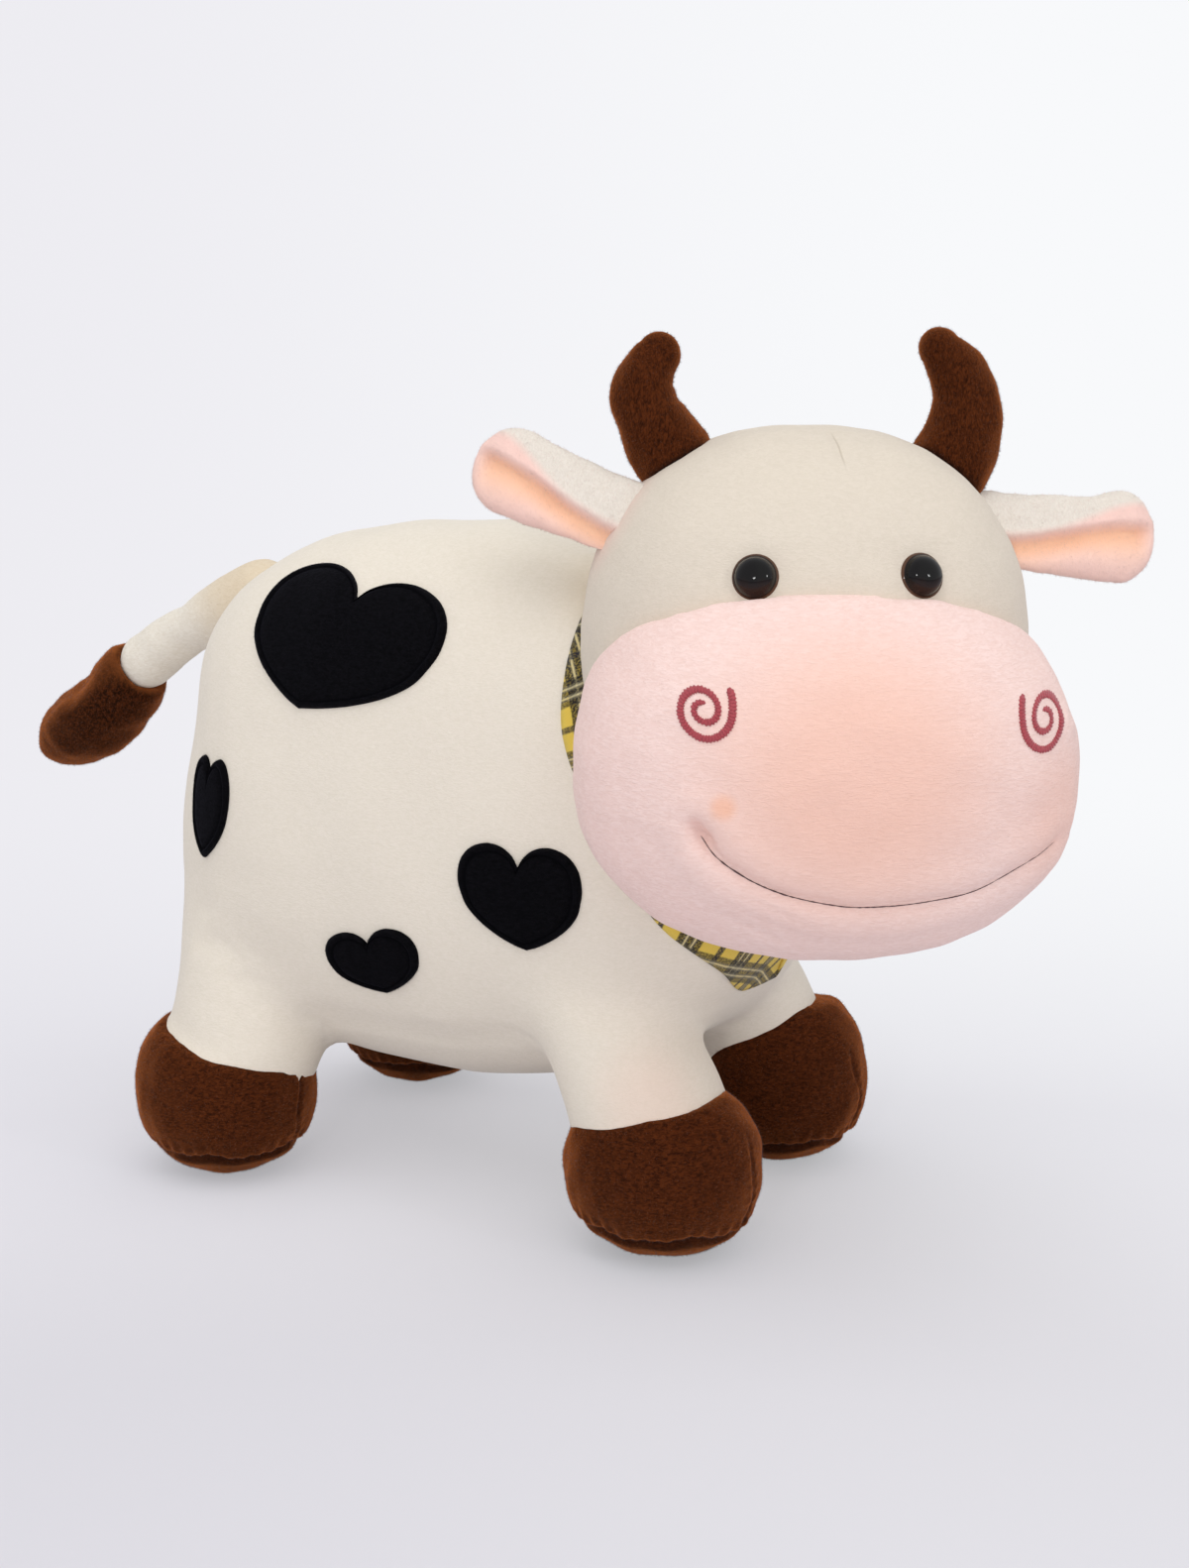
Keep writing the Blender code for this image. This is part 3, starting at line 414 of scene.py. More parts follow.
class Nodes:
    """Short way to add nodes to a tree and join them."""

    def __init__(self, tree):
        self.tree = tree

    def add(self, kind, values=None, **settings):
        """Adds a node; a value that is a socket is linked, and any other is set."""
        node = self.tree.nodes.new(kind)
        for key, value in settings.items():
            setattr(node, key, value)
        for key, value in (values or {}).items():
            if isinstance(value, bpy.types.NodeSocket):
                self.tree.links.new(value, node.inputs[key])
            else:
                node.inputs[key].default_value = value
        return node

    def math(self, operation, first, second=0.0):
        """Number from one or two numbers."""
        return self.add("ShaderNodeMath", {0: first, 1: second}, operation=operation).outputs[0]

    def times(self, first, second):
        """Product of two numbers."""
        return self.math("MULTIPLY", first, second)

    def vector(self, operation, first, second=(0, 0, 0), result="Vector"):
        """Vector, or number, from one or two vectors."""
        return self.add("ShaderNodeVectorMath", {0: first, 1: second}, operation=operation).outputs[result]

    def total(self, *parts):
        """Sum of numbers, each times its weight."""
        parts = [self.times(value, weight) for value, weight in parts]
        while len(parts) > 1:
            parts[:2] = [self.math("ADD", *parts[:2])]
        return parts[0]

    def mix(self, share, first, second):
        """Colour between two colours by a share."""
        return self.add("ShaderNodeMix", {0: share, 6: first, 7: second}, data_type="RGBA").outputs[2]

    def noise(self, vector, scale, detail=2.0, roughness=0.5, distortion=0.0):
        """Even noise from 0 to 1."""
        values = {"Vector": vector, "Scale": scale, "Detail": detail, "Roughness": roughness}
        return self.add("ShaderNodeTexNoise", {**values, "Distortion": distortion}).outputs["Fac"]

    def ramp(self, share, low, high):
        """Share between two limits, held from 0 to 1 with a smooth rise."""
        values = {"Value": share, "From Min": low, "From Max": high}
        return self.add("ShaderNodeMapRange", values, interpolation_type="SMOOTHSTEP").outputs["Result"]


def pile_group():
    """Short pile: small tufts, fine strands that lie one way and slow changes of shade.

    Height is the share of the pile's depth, Shade a mask of light and dark strands and Cloud a slow one."""
    tree = bpy.data.node_groups.new("pile", "ShaderNodeTree")
    for socket, kind in (("Vector", "Vector"), ("Lie", "Vector"), ("Tuft", "Float")):
        tree.interface.new_socket(socket, in_out="INPUT", socket_type=f"NodeSocket{kind}")
    for socket in ("Height", "Shade", "Cloud"):
        tree.interface.new_socket(socket, in_out="OUTPUT", socket_type="NodeSocketFloat")
    nodes = Nodes(tree)
    given = nodes.add("NodeGroupInput").outputs
    vector = given["Vector"]
    tufts = nodes.noise(vector, nodes.math("DIVIDE", 420.0, given["Tuft"]), 2.0, 0.5)
    strands = nodes.noise(given["Lie"], 1500.0, 2.0, 0.55, 0.9)
    fine = nodes.noise(vector, 2600.0, 1.0, 0.5)
    height = nodes.total((tufts, 0.2), (strands, 0.9), (fine, 0.15))
    shade = nodes.total((strands, 0.85), (tufts, 0.15))
    cloud = nodes.noise(vector, 22.0, 3.0, 0.55)
    nodes.add("NodeGroupOutput", {"Height": height, "Shade": shade, "Cloud": cloud})
    return tree


PILE = pile_group()


def new_finish(name, color=None):
    """Material with its nodes and its shader."""
    finish = bpy.data.materials.new(name)
    finish.use_nodes = True
    if color:
        finish.diffuse_color = linear(color)
    return finish, Nodes(finish.node_tree), finish.node_tree.nodes["Principled BSDF"]


def set_shader(nodes, shader, color, bump, values):
    """Joins a colour and a bump, of height, distance in millimetres and strength, and sets other sockets."""
    height, distance, strength = bump
    bump = nodes.add("ShaderNodeBump", {"Height": height, "Distance": distance * MM, "Strength": strength})
    nodes.tree.links.new(color, shader.inputs["Base Color"])
    nodes.tree.links.new(bump.outputs["Normal"], shader.inputs["Normal"])
    for key, value in values.items():
        shader.inputs[key].default_value = value


def plush(name, light, dark, sheen, depth=0.3, tuft=1.0, lie=(0.35, 0.35, 1), turn=(0, 0, 0), spread=(0.3, 0.7),
          cloudy=0.08, tint=(255, 255, 255), layers=()):
    """Plush of one colour, lighter on its strands and darker between them. Layers are further colours, each
    laid on by a mask: (colour, function of the nodes and the place that gives the mask)."""
    finish, nodes, shader = new_finish(name, light)
    place = nodes.add("ShaderNodeTexCoord").outputs["Object"]
    lying = nodes.add("ShaderNodeMapping", {"Vector": place, "Scale": lie, "Rotation": turn}).outputs["Vector"]
    pile = nodes.add("ShaderNodeGroup", node_tree=PILE)
    for key, value in (("Vector", place), ("Lie", lying)):
        nodes.tree.links.new(value, pile.inputs[key])
    pile.inputs["Tuft"].default_value = tuft
    color = nodes.mix(nodes.ramp(pile.outputs["Shade"], *spread), linear(dark), linear(light))
    for paint, mask in layers:
        color = nodes.mix(mask(nodes, place), color, linear(paint))
    cloud = nodes.ramp(pile.outputs["Cloud"], 0.3, 0.75)
    color = nodes.mix(nodes.times(cloud, cloudy), color, linear(dark))
    values = {"Roughness": 0.85, "Specular IOR Level": 0.06, "Sheen Weight": sheen, "Sheen Roughness": 0.4}
    set_shader(nodes, shader, color, (pile.outputs["Height"], depth, 0.8), {**values, "Sheen Tint": linear(tint)})
    return finish


def plain(name, color, rough, sheen=0.0, bump_scale=900.0, bump_depth=0.05, layers=(), specular=0.5):
    """Finish with small changes of colour and a fine grain."""
    finish, nodes, shader = new_finish(name, color)
    place = nodes.add("ShaderNodeTexCoord").outputs["Object"]
    grain = nodes.noise(place, bump_scale, 3.0)
    darker = tuple(0.8 * channel for channel in color)
    shown = nodes.mix(nodes.ramp(grain, 0.3, 0.7), linear(darker), linear(color))
    for paint, mask in layers:
        shown = nodes.mix(mask(nodes, place), shown, linear(paint))
    values = {"Roughness": rough, "Sheen Weight": sheen, "Specular IOR Level": specular}
    set_shader(nodes, shader, shown, (grain, bump_depth, 0.6), values)
    return finish


def named_mask(name, strength=1.0):
    """Mask from a vertex attribute."""

    def mask(nodes, place):
        return nodes.times(nodes.add("ShaderNodeAttribute", attribute_name=name).outputs["Fac"], strength)

    return mask


def spot_mask(centre, radius, strength):
    """Round mask that fades out at a radius, in millimetres, from a point of the row frame."""

    def mask(nodes, place):
        away = nodes.vector("DISTANCE", place, tuple(centre), "Value")
        return nodes.times(nodes.ramp(away, radius * MM, 0.25 * radius * MM), strength)

    return mask


def seam_mask(centre, across, reach, strength):
    """Mask of a thin seam line through a point, square to a direction and out to a reach from the point."""

    def mask(nodes, place):
        away = nodes.vector("SUBTRACT", place, tuple(centre))
        beside = nodes.vector("DOT_PRODUCT", away, tuple(across), "Value")
        line = nodes.ramp(nodes.math("ABSOLUTE", beside), 0.5 * MM, 0.1 * MM)
        return nodes.times(line, spot_mask(centre, reach, strength)(nodes, place))

    return mask


# Repeat of the woven check and of its threads.
CHECK_REPEAT = 27 * MM
THREAD_REPEAT = 0.62 * MM
YELLOW_YARN, BLACK_YARN, CREAM_YARN, BLUE_YARN = (234, 202, 82), (10, 9, 12), (226, 214, 170), (14, 18, 40)
# Bands of the check: colour, middle and half width as shares of the repeat, and strength.
CHECK_BANDS = (
    (CREAM_YARN, 0.065, 0.04, 0.9), (CREAM_YARN, 0.195, 0.04, 0.9), (BLACK_YARN, 0.0, 0.055, 1.0),
    (BLACK_YARN, 0.13, 0.05, 1.0), (BLACK_YARN, 0.26, 0.055, 1.0), (BLUE_YARN, 0.63, 0.045, 1.0),
)


def check_finish():
    """Woven check: a yellow ground with black and cream bands both ways, crossed by the threads of the weave."""
    finish, nodes, shader = new_finish("checked_cotton_weave")
    flat = nodes.add("ShaderNodeUVMap", uv_map="flat").outputs["UV"]
    jitter = nodes.add("ShaderNodeTexNoise", {"Vector": flat, "Scale": 380.0, "Detail": 2.0}).outputs["Color"]
    jitter = nodes.vector("SUBTRACT", jitter, (0.5, 0.5, 0.5))
    jitter = nodes.vector("MULTIPLY", jitter, (0.6 * MM,) * 3)
    flat = nodes.vector("ADD", flat, jitter)
    axes = nodes.add("ShaderNodeSeparateXYZ", {"Vector": flat})
    color = linear(YELLOW_YARN)
    speck = nodes.times(nodes.ramp(nodes.noise(flat, 1300.0, 1.0), 0.4, 0.65), 0.35)
    threads = []
    for axis, weight in (("X", 0.97), ("Y", 0.85)):
        share = nodes.math("FRACT", nodes.math("DIVIDE", axes.outputs[axis], CHECK_REPEAT))
        for paint, middle, half, strength in CHECK_BANDS:
            away = nodes.math("ABSOLUTE", nodes.math("SUBTRACT", share, middle))
            away = nodes.math("MINIMUM", away, nodes.math("SUBTRACT", 1.0, away))
            over = nodes.times(nodes.ramp(away, half + 0.012, half - 0.012), weight * strength)
            over = nodes.times(over, nodes.math("SUBTRACT", 1.0, speck))
            color = nodes.mix(over, color, linear(paint))
        threads.append(nodes.math("SINE", nodes.times(axes.outputs[axis], math.tau / THREAD_REPEAT)))
    weave = nodes.times(*threads)
    color = nodes.mix(nodes.times(nodes.ramp(weave, -0.4, -1.0), 0.35), color, linear((50, 38, 16)))
    set_shader(nodes, shader, color, (weave, 0.12, 0.6), {"Roughness": 0.88, "Sheen Weight": 0.15})
    return finish


# Darker warm cream painted as shade where the tail joins the body and where the head sits on the body.
WARM_SHADE = (214, 186, 140)
TAIL_ROOT = (0.0103, 0.115, 0.215)
BODY_PLUSH = plush(
    "ivory_pile_body", (236, 227, 212), (230, 221, 204), 0.15, depth=0.2, turn=(0.3, 0, 0),
    layers=(
        # Painted shade in warm cream at the tail root and where the head sits on the body.
        (WARM_SHADE, spot_mask(TAIL_ROOT, 40, 0.35)),
        (WARM_SHADE, spot_mask((-0.03, -0.08, 0.235), 42, 0.35)),
        ((236, 196, 178), spot_mask((-0.062, -0.098, 0.06), 30, 0.3)),
    ),
)
CROWN = HEAD_PLACE @ Vector((5 * MM, -30 * MM, 71 * MM))
# The head's ivory plush is a darker copy of the body's: painted shade that offsets the stronger lamp light on the
# head.
HEAD_PLUSH = plush(
    "ivory_pile_head_shaded", (222, 211, 195), (216, 205, 188), 0.1, depth=0.2, turn=(0, 0.5, 0),
    layers=(
        ((240, 200, 188), spot_mask((-0.0449, -0.0745, 0.2516), 26, 0.45)),
        ((186, 174, 156), seam_mask(CROWN, HEAD_PLACE.col[0][:3], 17, 0.7)),
    ),
)
MUZZLE_PLUSH = plush(
    "pink_pile", (246, 219, 211), (238, 207, 197), 0.1, depth=0.4, lie=(0.25, 0.25, 1),
    layers=(
        ((242, 192, 170), spot_mask(MUZZLE_PLACE @ Vector((-0.002, -0.052, 0.012)), 62, 0.7)),
        ((240, 186, 164), spot_mask(MUZZLE_PLACE @ Vector((0.062, -0.03, -0.004)), 30, 0.4)),
        ((244, 170, 120), spot_mask(MUZZLE_PLACE @ Vector((-0.0401, -0.0498, 0.0019)), 5.5, 0.45)),
    ),
)
BROWN, BROWN_TUFT = ((88, 42, 16), (40, 14, 3), 0.9), ((76, 36, 14), (26, 9, 2), 0.9)
BROWN_PILE = {"tuft": 0.9, "cloudy": 0.2, "tint": (240, 138, 70)}
# Painted shade: a dark line along the drawn-in seams of the boots and where each horn is sewn to the head.
SEAM_SHADE = ((12, 7, 7), named_mask("root"))
HOOF_PLUSH = plush(
    "brown_pile_rows", *BROWN, lie=(0.4, 0.4, 0.9), **BROWN_PILE,
    # Painted shade darkens the sole below its seam.
    layers=(SEAM_SHADE, ((22, 9, 5), named_mask("under", 0.9))),
)
HORN_PLUSH = plush(
    "brown_pile_upright", *BROWN, lie=(0.9, 0.9, 0.4), turn=(0, 0.35, 0), **BROWN_PILE, layers=(SEAM_SHADE,)
)
TUFT_PLUSH = plush(
    "brown_pile_tuft", *BROWN_TUFT, lie=(0.9, 0.5, 0.5), turn=(0.6, 0, 0), spread=(0.4, 0.65), **BROWN_PILE,
    # Painted light: the upward-facing top of the tuft is lighter.
    layers=(SEAM_SHADE, ((150, 84, 42), named_mask("top", 0.75))),
)
HEART_PLUSH = plush(
    "navy_pile", (11, 10, 14), (2, 2, 3), 0.06, tuft=0.9, tint=(120, 120, 160),
    layers=(((2, 2, 4), named_mask("stitch")),),
)
EAR_PLUSH = plush(
    "ear_pile", (234, 226, 214), (224, 215, 202), 0.2, lie=(1, 1, 0.35),
    # Painted glow: brighter orange in the hollow stands in for light shining through the thin ear.
    layers=(((245, 207, 195), named_mask("pink")), ((255, 202, 166), named_mask("painted_glow"))),
)
# The tail's plush carries painted warm shade at its root.
TAIL_PLUSH = plush(
    "ivory_pile_tail", (240, 233, 219), (229, 220, 203), 0.15, layers=((WARM_SHADE, spot_mask(TAIL_ROOT, 36, 0.5)),)
)
BROWN_FUZZ = plain("brown_fibre", (96, 46, 18), 0.9, bump_depth=0.0, sheen=0.3, specular=0.05)
BLACK_FUZZ = plain("black_fibre", (9, 8, 12), 0.9, bump_depth=0.0, specular=0.05)
PINK_FUZZ = plain("pink_fibre", (250, 222, 212), 0.9, bump_depth=0.0, specular=0.1)
ROSE_THREAD = plain("rose_thread", (178, 62, 72), 0.5, bump_scale=2500.0, bump_depth=0.06, sheen=0.2)
DARK_THREAD = plain("dark_thread", (78, 46, 50), 0.6, bump_scale=2500.0, bump_depth=0.05)
EYE_GLOSS = plain(
    "eye_gloss", (6, 4, 4), 0.05, bump_scale=40.0, bump_depth=0.0, specular=0.25,
    # Painted reflection: a brown glow over the lower part of the lens.
    layers=(((58, 30, 18), named_mask("low", 0.5)), ((96, 66, 48), named_mask("rim", 0.8))),
)
WASHER_PLASTIC = plain("washer_plastic_moulded", (222, 220, 214), 0.45)
CHECKED_COTTON = check_finish()
# Half width of a fibre's foot, least height of a fibre above the floor, and how far fibres lean by chance and down.
FIBRE_HALF = 0.045 * MM
FIBRE_FLOOR = 0.1 * MM
FIBRE_LEAN, FIBRE_DROOP = 0.45, (0, 0, -0.35)


def add_fuzz(name, piece, count, length, finish, seed):
    """Fibres that stand out of a skin: spikes of three faces with roots spread evenly over its area. Each goes out
    along the normal and leans down and to one side by chance."""
    mesh = piece.data
    mesh.calc_loop_triangles()
    corners = coordinates(mesh)[listed(mesh.loop_triangles, "vertices", 3, np.int64)]
    normal = np.cross(corners[:, 1] - corners[:, 0], corners[:, 2] - corners[:, 0])
    area = lengths(normal)
    chance = np.random.default_rng(seed)
    chosen = chance.choice(len(area), count, p=area / area.sum())
    share = np.sort(chance.random((count, 2)), axis=1)
    weight = np.stack([share[:, 0], share[:, 1] - share[:, 0], 1 - share[:, 1]], 1)
    root = (corners[chosen] * weight[..., None]).sum(1)
    normal = normal[chosen] / area[chosen, None]
    way = unit(normal + FIBRE_LEAN * chance.normal(size=(count, 3)) + FIBRE_DROOP)
    side = unit(np.cross(way, chance.normal(size=(count, 3))))
    other = np.cross(way, side)
    base = root - 0.1 * length * normal
    tip = root + way * (length * (0.45 + 0.55 * chance.random(count)))[:, None]
    feet = [base + FIBRE_HALF * (math.cos(turn) * side + math.sin(turn) * other) for turn in (0, 2.1, 4.2)]
    points = np.stack([*feet, tip], 1).reshape(-1, 3)
    points[:, 2] = np.maximum(points[:, 2], FIBRE_FLOOR)
    faces = np.array([(0, 1, 3), (1, 2, 3), (2, 0, 3)])[None] + 4 * np.arange(count)[:, None, None]
    fibres = bpy.data.meshes.new(name)
    fibres.from_pydata(points, [], faces.reshape(-1, 3))
    return add_object(name, fibres, finish)


def joint_place(name):
    """Place of a joint in the row frame."""
    return np.array(next(each for each in frame["joints"] if each["name"] == name)["pos_m"])


def declare(piece, replaced=(), body="cow"):
    """Says which body carries a piece and which nodes it replaces, and hides those nodes. A piece that bends
    between two bodies is given none here."""
    if body:
        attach(piece, body)
    if replaced:
        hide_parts(*replaced)


# Where the chest is drawn in, in millimetres: depth, height and its spread, and where it starts and is full along Y
# and along X.
CHEST = ((12.5, 81, 21, (-30, -75), (30, 0)), (12, 118, 25, (-60, -95), (-8, 26)))


def add_body():
    """Torso and legs as one stuffed skin. It runs on, a little smaller, inside the hooves, so that a leg ends in
    its cuff seam and not in an edge; the creases between belly and legs are filled as one pattern piece is."""
    meshes = [hull_copy("torso")]
    for foot in FEET:
        meshes.append(node_copy(f"leg_{foot}"))
        meshes.append(moved_out(hull_copy(f"hoof_{foot}", f"sole_{foot}"), -2.2 * MM))
    body = skin("body_skin", meshes, 4 * MM, BODY_PLUSH)
    relax(body, 6)
    points = coordinates(body.data)
    above_cuff = rise(62, 78, points[:, 2])
    fill_creases(body, 28, above_cuff)
    relax(body, 8, above_cuff)
    points = coordinates(body.data)
    belly = np.exp(-(((points[:, 0] - 10 * MM) / (42 * MM)) ** 2) - (points[:, 1] / (50 * MM)) ** 2)
    points[:, 2] -= 4 * MM * belly * rise(110, 80, points[:, 2])
    set_coordinates(body.data, points)
    stuff(body, 1.2 * MM, points[:, 2] < 50 * MM)
    subdivided(body)
    points, normals = coordinates(body.data), vertex_normals(body.data)
    rear = np.clip(-normals @ AHEAD, 0, 1) ** 2
    high = bell(points[:, 2], 27, 172)
    low = bell(points[:, 2], 20, 98)
    root = lengths(points - joint_place("tail_lift"))
    push(body, rear * (2.2 * MM * low - 5.3 * MM * high * rise(12, 34, root)))
    for depth, height, spread, along, across in CHEST:
        points, normals = coordinates(body.data), vertex_normals(body.data)
        inward = np.clip(normals @ AHEAD, 0, 1) * bell(points[:, 2], spread, height)
        inward *= rise(*along, points[:, 1]) * rise(*across, points[:, 0])
        set_coordinates(body.data, points - depth * MM * inward[:, None] * AHEAD)
        relax(body, 3, inward)
    points = coordinates(body.data)
    under = vertex_normals(body.data)[:, 2]
    seam = np.exp(-(((under + 0.6) / 0.07) ** 2) - (points[:, 1] / (62 * MM)) ** 4)
    push(body, -0.9 * MM * seam + 0.35 * MM * ripple(points, 38 * MM, 3) * rise(55, 80, points[:, 2]))
    declare(body, ["torso", *(f"leg_{foot}" for foot in FEET)])
    return body


def add_head():
    """Head skin with a dimple round each eye and a short dart at the crown."""
    head = stuffed("head_skin", ["head"], 3, HEAD_PLUSH, 10, 0.8)
    points = coordinates(head.data)
    dent = np.zeros(len(points))
    for side in ("left", "right"):
        centre, _ = eye_axis(side)
        dent -= 1.6 * MM * bell(lengths(points - centre), 11)
    local = to_local(points, HEAD_PLACE)
    dart = bell(local[:, 0], 1.4, 5)
    dart *= rise(61, 67, local[:, 2]) * rise(-10, -20, local[:, 1])
    push(head, dent - 0.8 * MM * dart + 0.25 * MM * ripple(points, 30 * MM, 5))
    declare(head, ["head"])
    return head


def eye_axis(side):
    """Middle of an eye's rim and the way it looks, from the places of its dome and its washer."""
    dome = node_points(f"eye_{side}")
    washer = node_points(f"eye_washer_{side}").mean(0)
    axis = unit(dome[lengths(dome - washer).argmax()] - washer)
    along = (dome - washer) @ axis
    offset = dome - washer - along[:, None] * axis
    wide = lengths(offset) > 7.4 * MM
    return washer + axis * along[wide].min(), axis


# Line of the mouth on the muzzle's front, from its near corner: across and up.
MOUTH = np.array(
    [(-47.5, -5), (-45.2, -8.7), (-40.3, -14.7), (-31, -20.5), (-22.3, -24.1), (-14.2, -26.4), (-2.7, -28.3),
     (5.1, -28.6), (15.4, -28.1), (26.5, -26.9), (35.6, -25.3), (42.8, -22.9), (53.3, -18.2), (66.4, -13.4)]
) * MM


def along_track(points, curve):
    """Distance of each point from a curve of close points, its share of the curve and whether it lies above."""
    best = np.full(len(points), np.inf)
    share = np.zeros(len(points))
    height = np.zeros(len(points))
    for number, spot in enumerate(curve):
        away = lengths(points - spot)
        nearer = away < best
        best[nearer] = away[nearer]
        share[nearer] = number / (len(curve) - 1)
        height[nearer] = points[nearer, 1] - spot[1]
    return best, share, height


def add_muzzle(head):
    """Wide muzzle: pinched in where it is sewn to the head, with a drawn-in mouth that is deepest at the corner,
    a full lip below it, a pucker beside the far nostril and small wrinkles below the near corner."""
    muzzle = stuffed("muzzle_skin", ["muzzle"], 3, MUZZLE_PLUSH, 8, 1.0)
    points = coordinates(muzzle.data)
    local = to_local(points, MUZZLE_PLACE)
    front = rise(-12, -26, local[:, 1])
    flat = local[:, [0, 2]]
    away, share, above = along_track(flat, track(MOUTH, 160))
    depth = np.interp(share, [0, 0.06, 0.12, 0.3, 0.75, 1], [3.4, 3.6, 2.3, 2.0, 1.7, 1.0]) * MM
    groove = -depth * bell(away, 2.0)
    shoulder = 1.3 * MM * bell(away, 5, 7) * np.where(above < 0, 1.0, 0.7)
    corner = lengths(flat - MOUTH[1])
    dimple = -2.4 * MM * bell(corner, 3.4)
    pucker = lengths(flat - np.array([69, 24]) * MM)
    ridge = 1.2 * MM * bell(pucker, 3.0, 2)
    low = bell(lengths(flat - np.array([-22, -33]) * MM), 14)
    wrinkles = -0.5 * MM * low * np.maximum(np.sin((flat[:, 0] * 0.5 + flat[:, 1]) * math.tau / (6 * MM)), 0) ** 3
    gap = gap_to(muzzle, head)
    seam = -1.2 * MM * bell(gap, 2.6)
    brow = 2.9 * MM * rise(0, 22, local[:, 2]) * bell(gap, 9)
    push(muzzle, front * (groove + shoulder + dimple + ridge + wrinkles) + seam + brow)
    push(muzzle, 0.25 * MM * ripple(points, 24 * MM, 9))
    declare(muzzle, ["muzzle"])
    return muzzle


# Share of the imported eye's width that shows above the pile.
EYE_SHOWN = 0.97
# Profile of an eye: radius and height above the middle of its rim.
EYE_PROFILE = np.array(
    [(6.5, -2.0), (7.3, -1.4), (7.5, -0.5), (7.4, 0.35), (7.05, 0.8), (6.75, 0.95), (6.5, 1.2), (6.2, 2.0),
     (5.6, 3.2), (4.6, 4.2), (3.2, 4.95), (1.6, 5.35), (0.0, 5.45)]
) * MM


def add_eye(side):
    """Safety eye: a domed lens above a thin rim, turned from a profile of radius and height."""
    centre, axis = eye_axis(side)
    across = unit(np.cross((0, 0, 1), axis))
    up = np.cross(axis, across)
    profile = np.vstack([[0, EYE_PROFILE[0, 1]], track(EYE_PROFILE, 40), [0, EYE_PROFILE[-1, 1]]])
    turn = around(64)
    radius, height = profile[:, :1] * EYE_SHOWN, profile[:, 1:]
    circle = np.cos(turn)[:, None] * across + np.sin(turn)[:, None] * up
    points = centre + radius[..., None] * circle + height[..., None] * axis
    rim = np.broadcast_to(rise(6.4, 6.8, radius), points.shape[:2])
    # Painted reflection over the lower part of the lens.
    low = smoothstep(0.1, 0.9, -np.sin(turn)) * rise(1.5, 6, radius)
    eye = surface(f"eye_lens_{side}", points, EYE_GLOSS, attributes={"rim": rim, "low": low})
    declare(eye, [f"eye_{side}"])
    frame["nodes"][f"eye_washer_{side}"].material_slots[0].material = WASHER_PLASTIC


# Place that looks out of the muzzle's front.
MUZZLE_FRONT = MUZZLE_PLACE @ Matrix.Rotation(math.radians(90), 4, "X")
# Spiral of a nostril, from its outer end inward: turn in degrees and radius.
SPIRAL_TURN = np.array([42, 9, -40, -87, -135, -178, -225, -262, -300, -333, -390, -450, -540, -620, -655])
SPIRAL_RADIUS = np.array([10.0, 8.2, 7.8, 7.7, 6.9, 6.2, 5.6, 5.3, 4.9, 4.5, 3.8, 3.0, 2.5, 2.0, 2.0]) * MM
STITCH_REPEAT = 0.9 * MM


def add_nostril(name, centre, mirror, muzzle, size=1.0, squeeze=1.0):
    """Satin-stitched spiral: a rounded band along a spiral that starts outside and winds in, laid on the muzzle.
    Stitches are ridges across the band."""
    turns = np.radians(SPIRAL_TURN)
    turn = np.linspace(turns[0], turns[-1], 720)
    radius = np.interp(-turn, -turns, SPIRAL_RADIUS)
    radius = np.convolve(np.pad(radius, 15, mode="edge"), np.ones(31) / 31, mode="valid")
    path = size * np.stack([squeeze * mirror * radius * np.cos(turn), radius * np.sin(turn)], 1)
    length = np.cumsum(lengths(np.gradient(path, axis=0)))
    taper = np.minimum(1, np.sqrt(np.maximum(np.minimum(length, length[-1] - length), 0) / (1.6 * MM)))[:, None]
    chance = np.random.default_rng(11)
    uneven = np.interp(length, np.linspace(0, length[-1], 90), chance.normal(0, 0.12, 90)) * MM
    stitch = np.sin(length * math.tau / STITCH_REPEAT)
    half = (1.15 * MM - 0.35 * MM * length / length[-1] + 0.16 * MM * stitch + 0.6 * uneven)[:, None] * taper
    lift = (0.75 * MM + 0.18 * MM * stitch)[:, None] * taper * np.sin(around(14))
    flat = band(path, half * np.cos(around(14))) + centre
    declare(surface(name, laid(flat, 90, lift, MUZZLE_FRONT, muzzle), ROSE_THREAD))


def add_mouth_thread(muzzle):
    """Thin dark stitches in the mouth's crease: a tube whose thickness comes and goes along it."""
    path = track(MOUTH[1:], 420)
    share = np.linspace(0, 1, len(path))[:, None]
    chance = np.random.default_rng(5)
    dash = np.interp(share[:, 0], np.linspace(0, 1, 110), 0.35 + 0.65 * chance.random(110))[:, None]
    half = 0.27 * MM * dash * np.sqrt(np.clip(np.minimum(share, 1 - share) * 30, 0, 1)) * (1 - 0.5 * share)
    lag = around(8)
    points = laid(band(path, half * np.cos(lag)), 90, half * np.sin(lag) + 0.1 * MM, MUZZLE_FRONT, muzzle)
    declare(surface("mouth_thread", points, DARK_THREAD))


SOLE_SEAM = 11.5 * MM
BOOT_FLOOR = 0.2 * MM


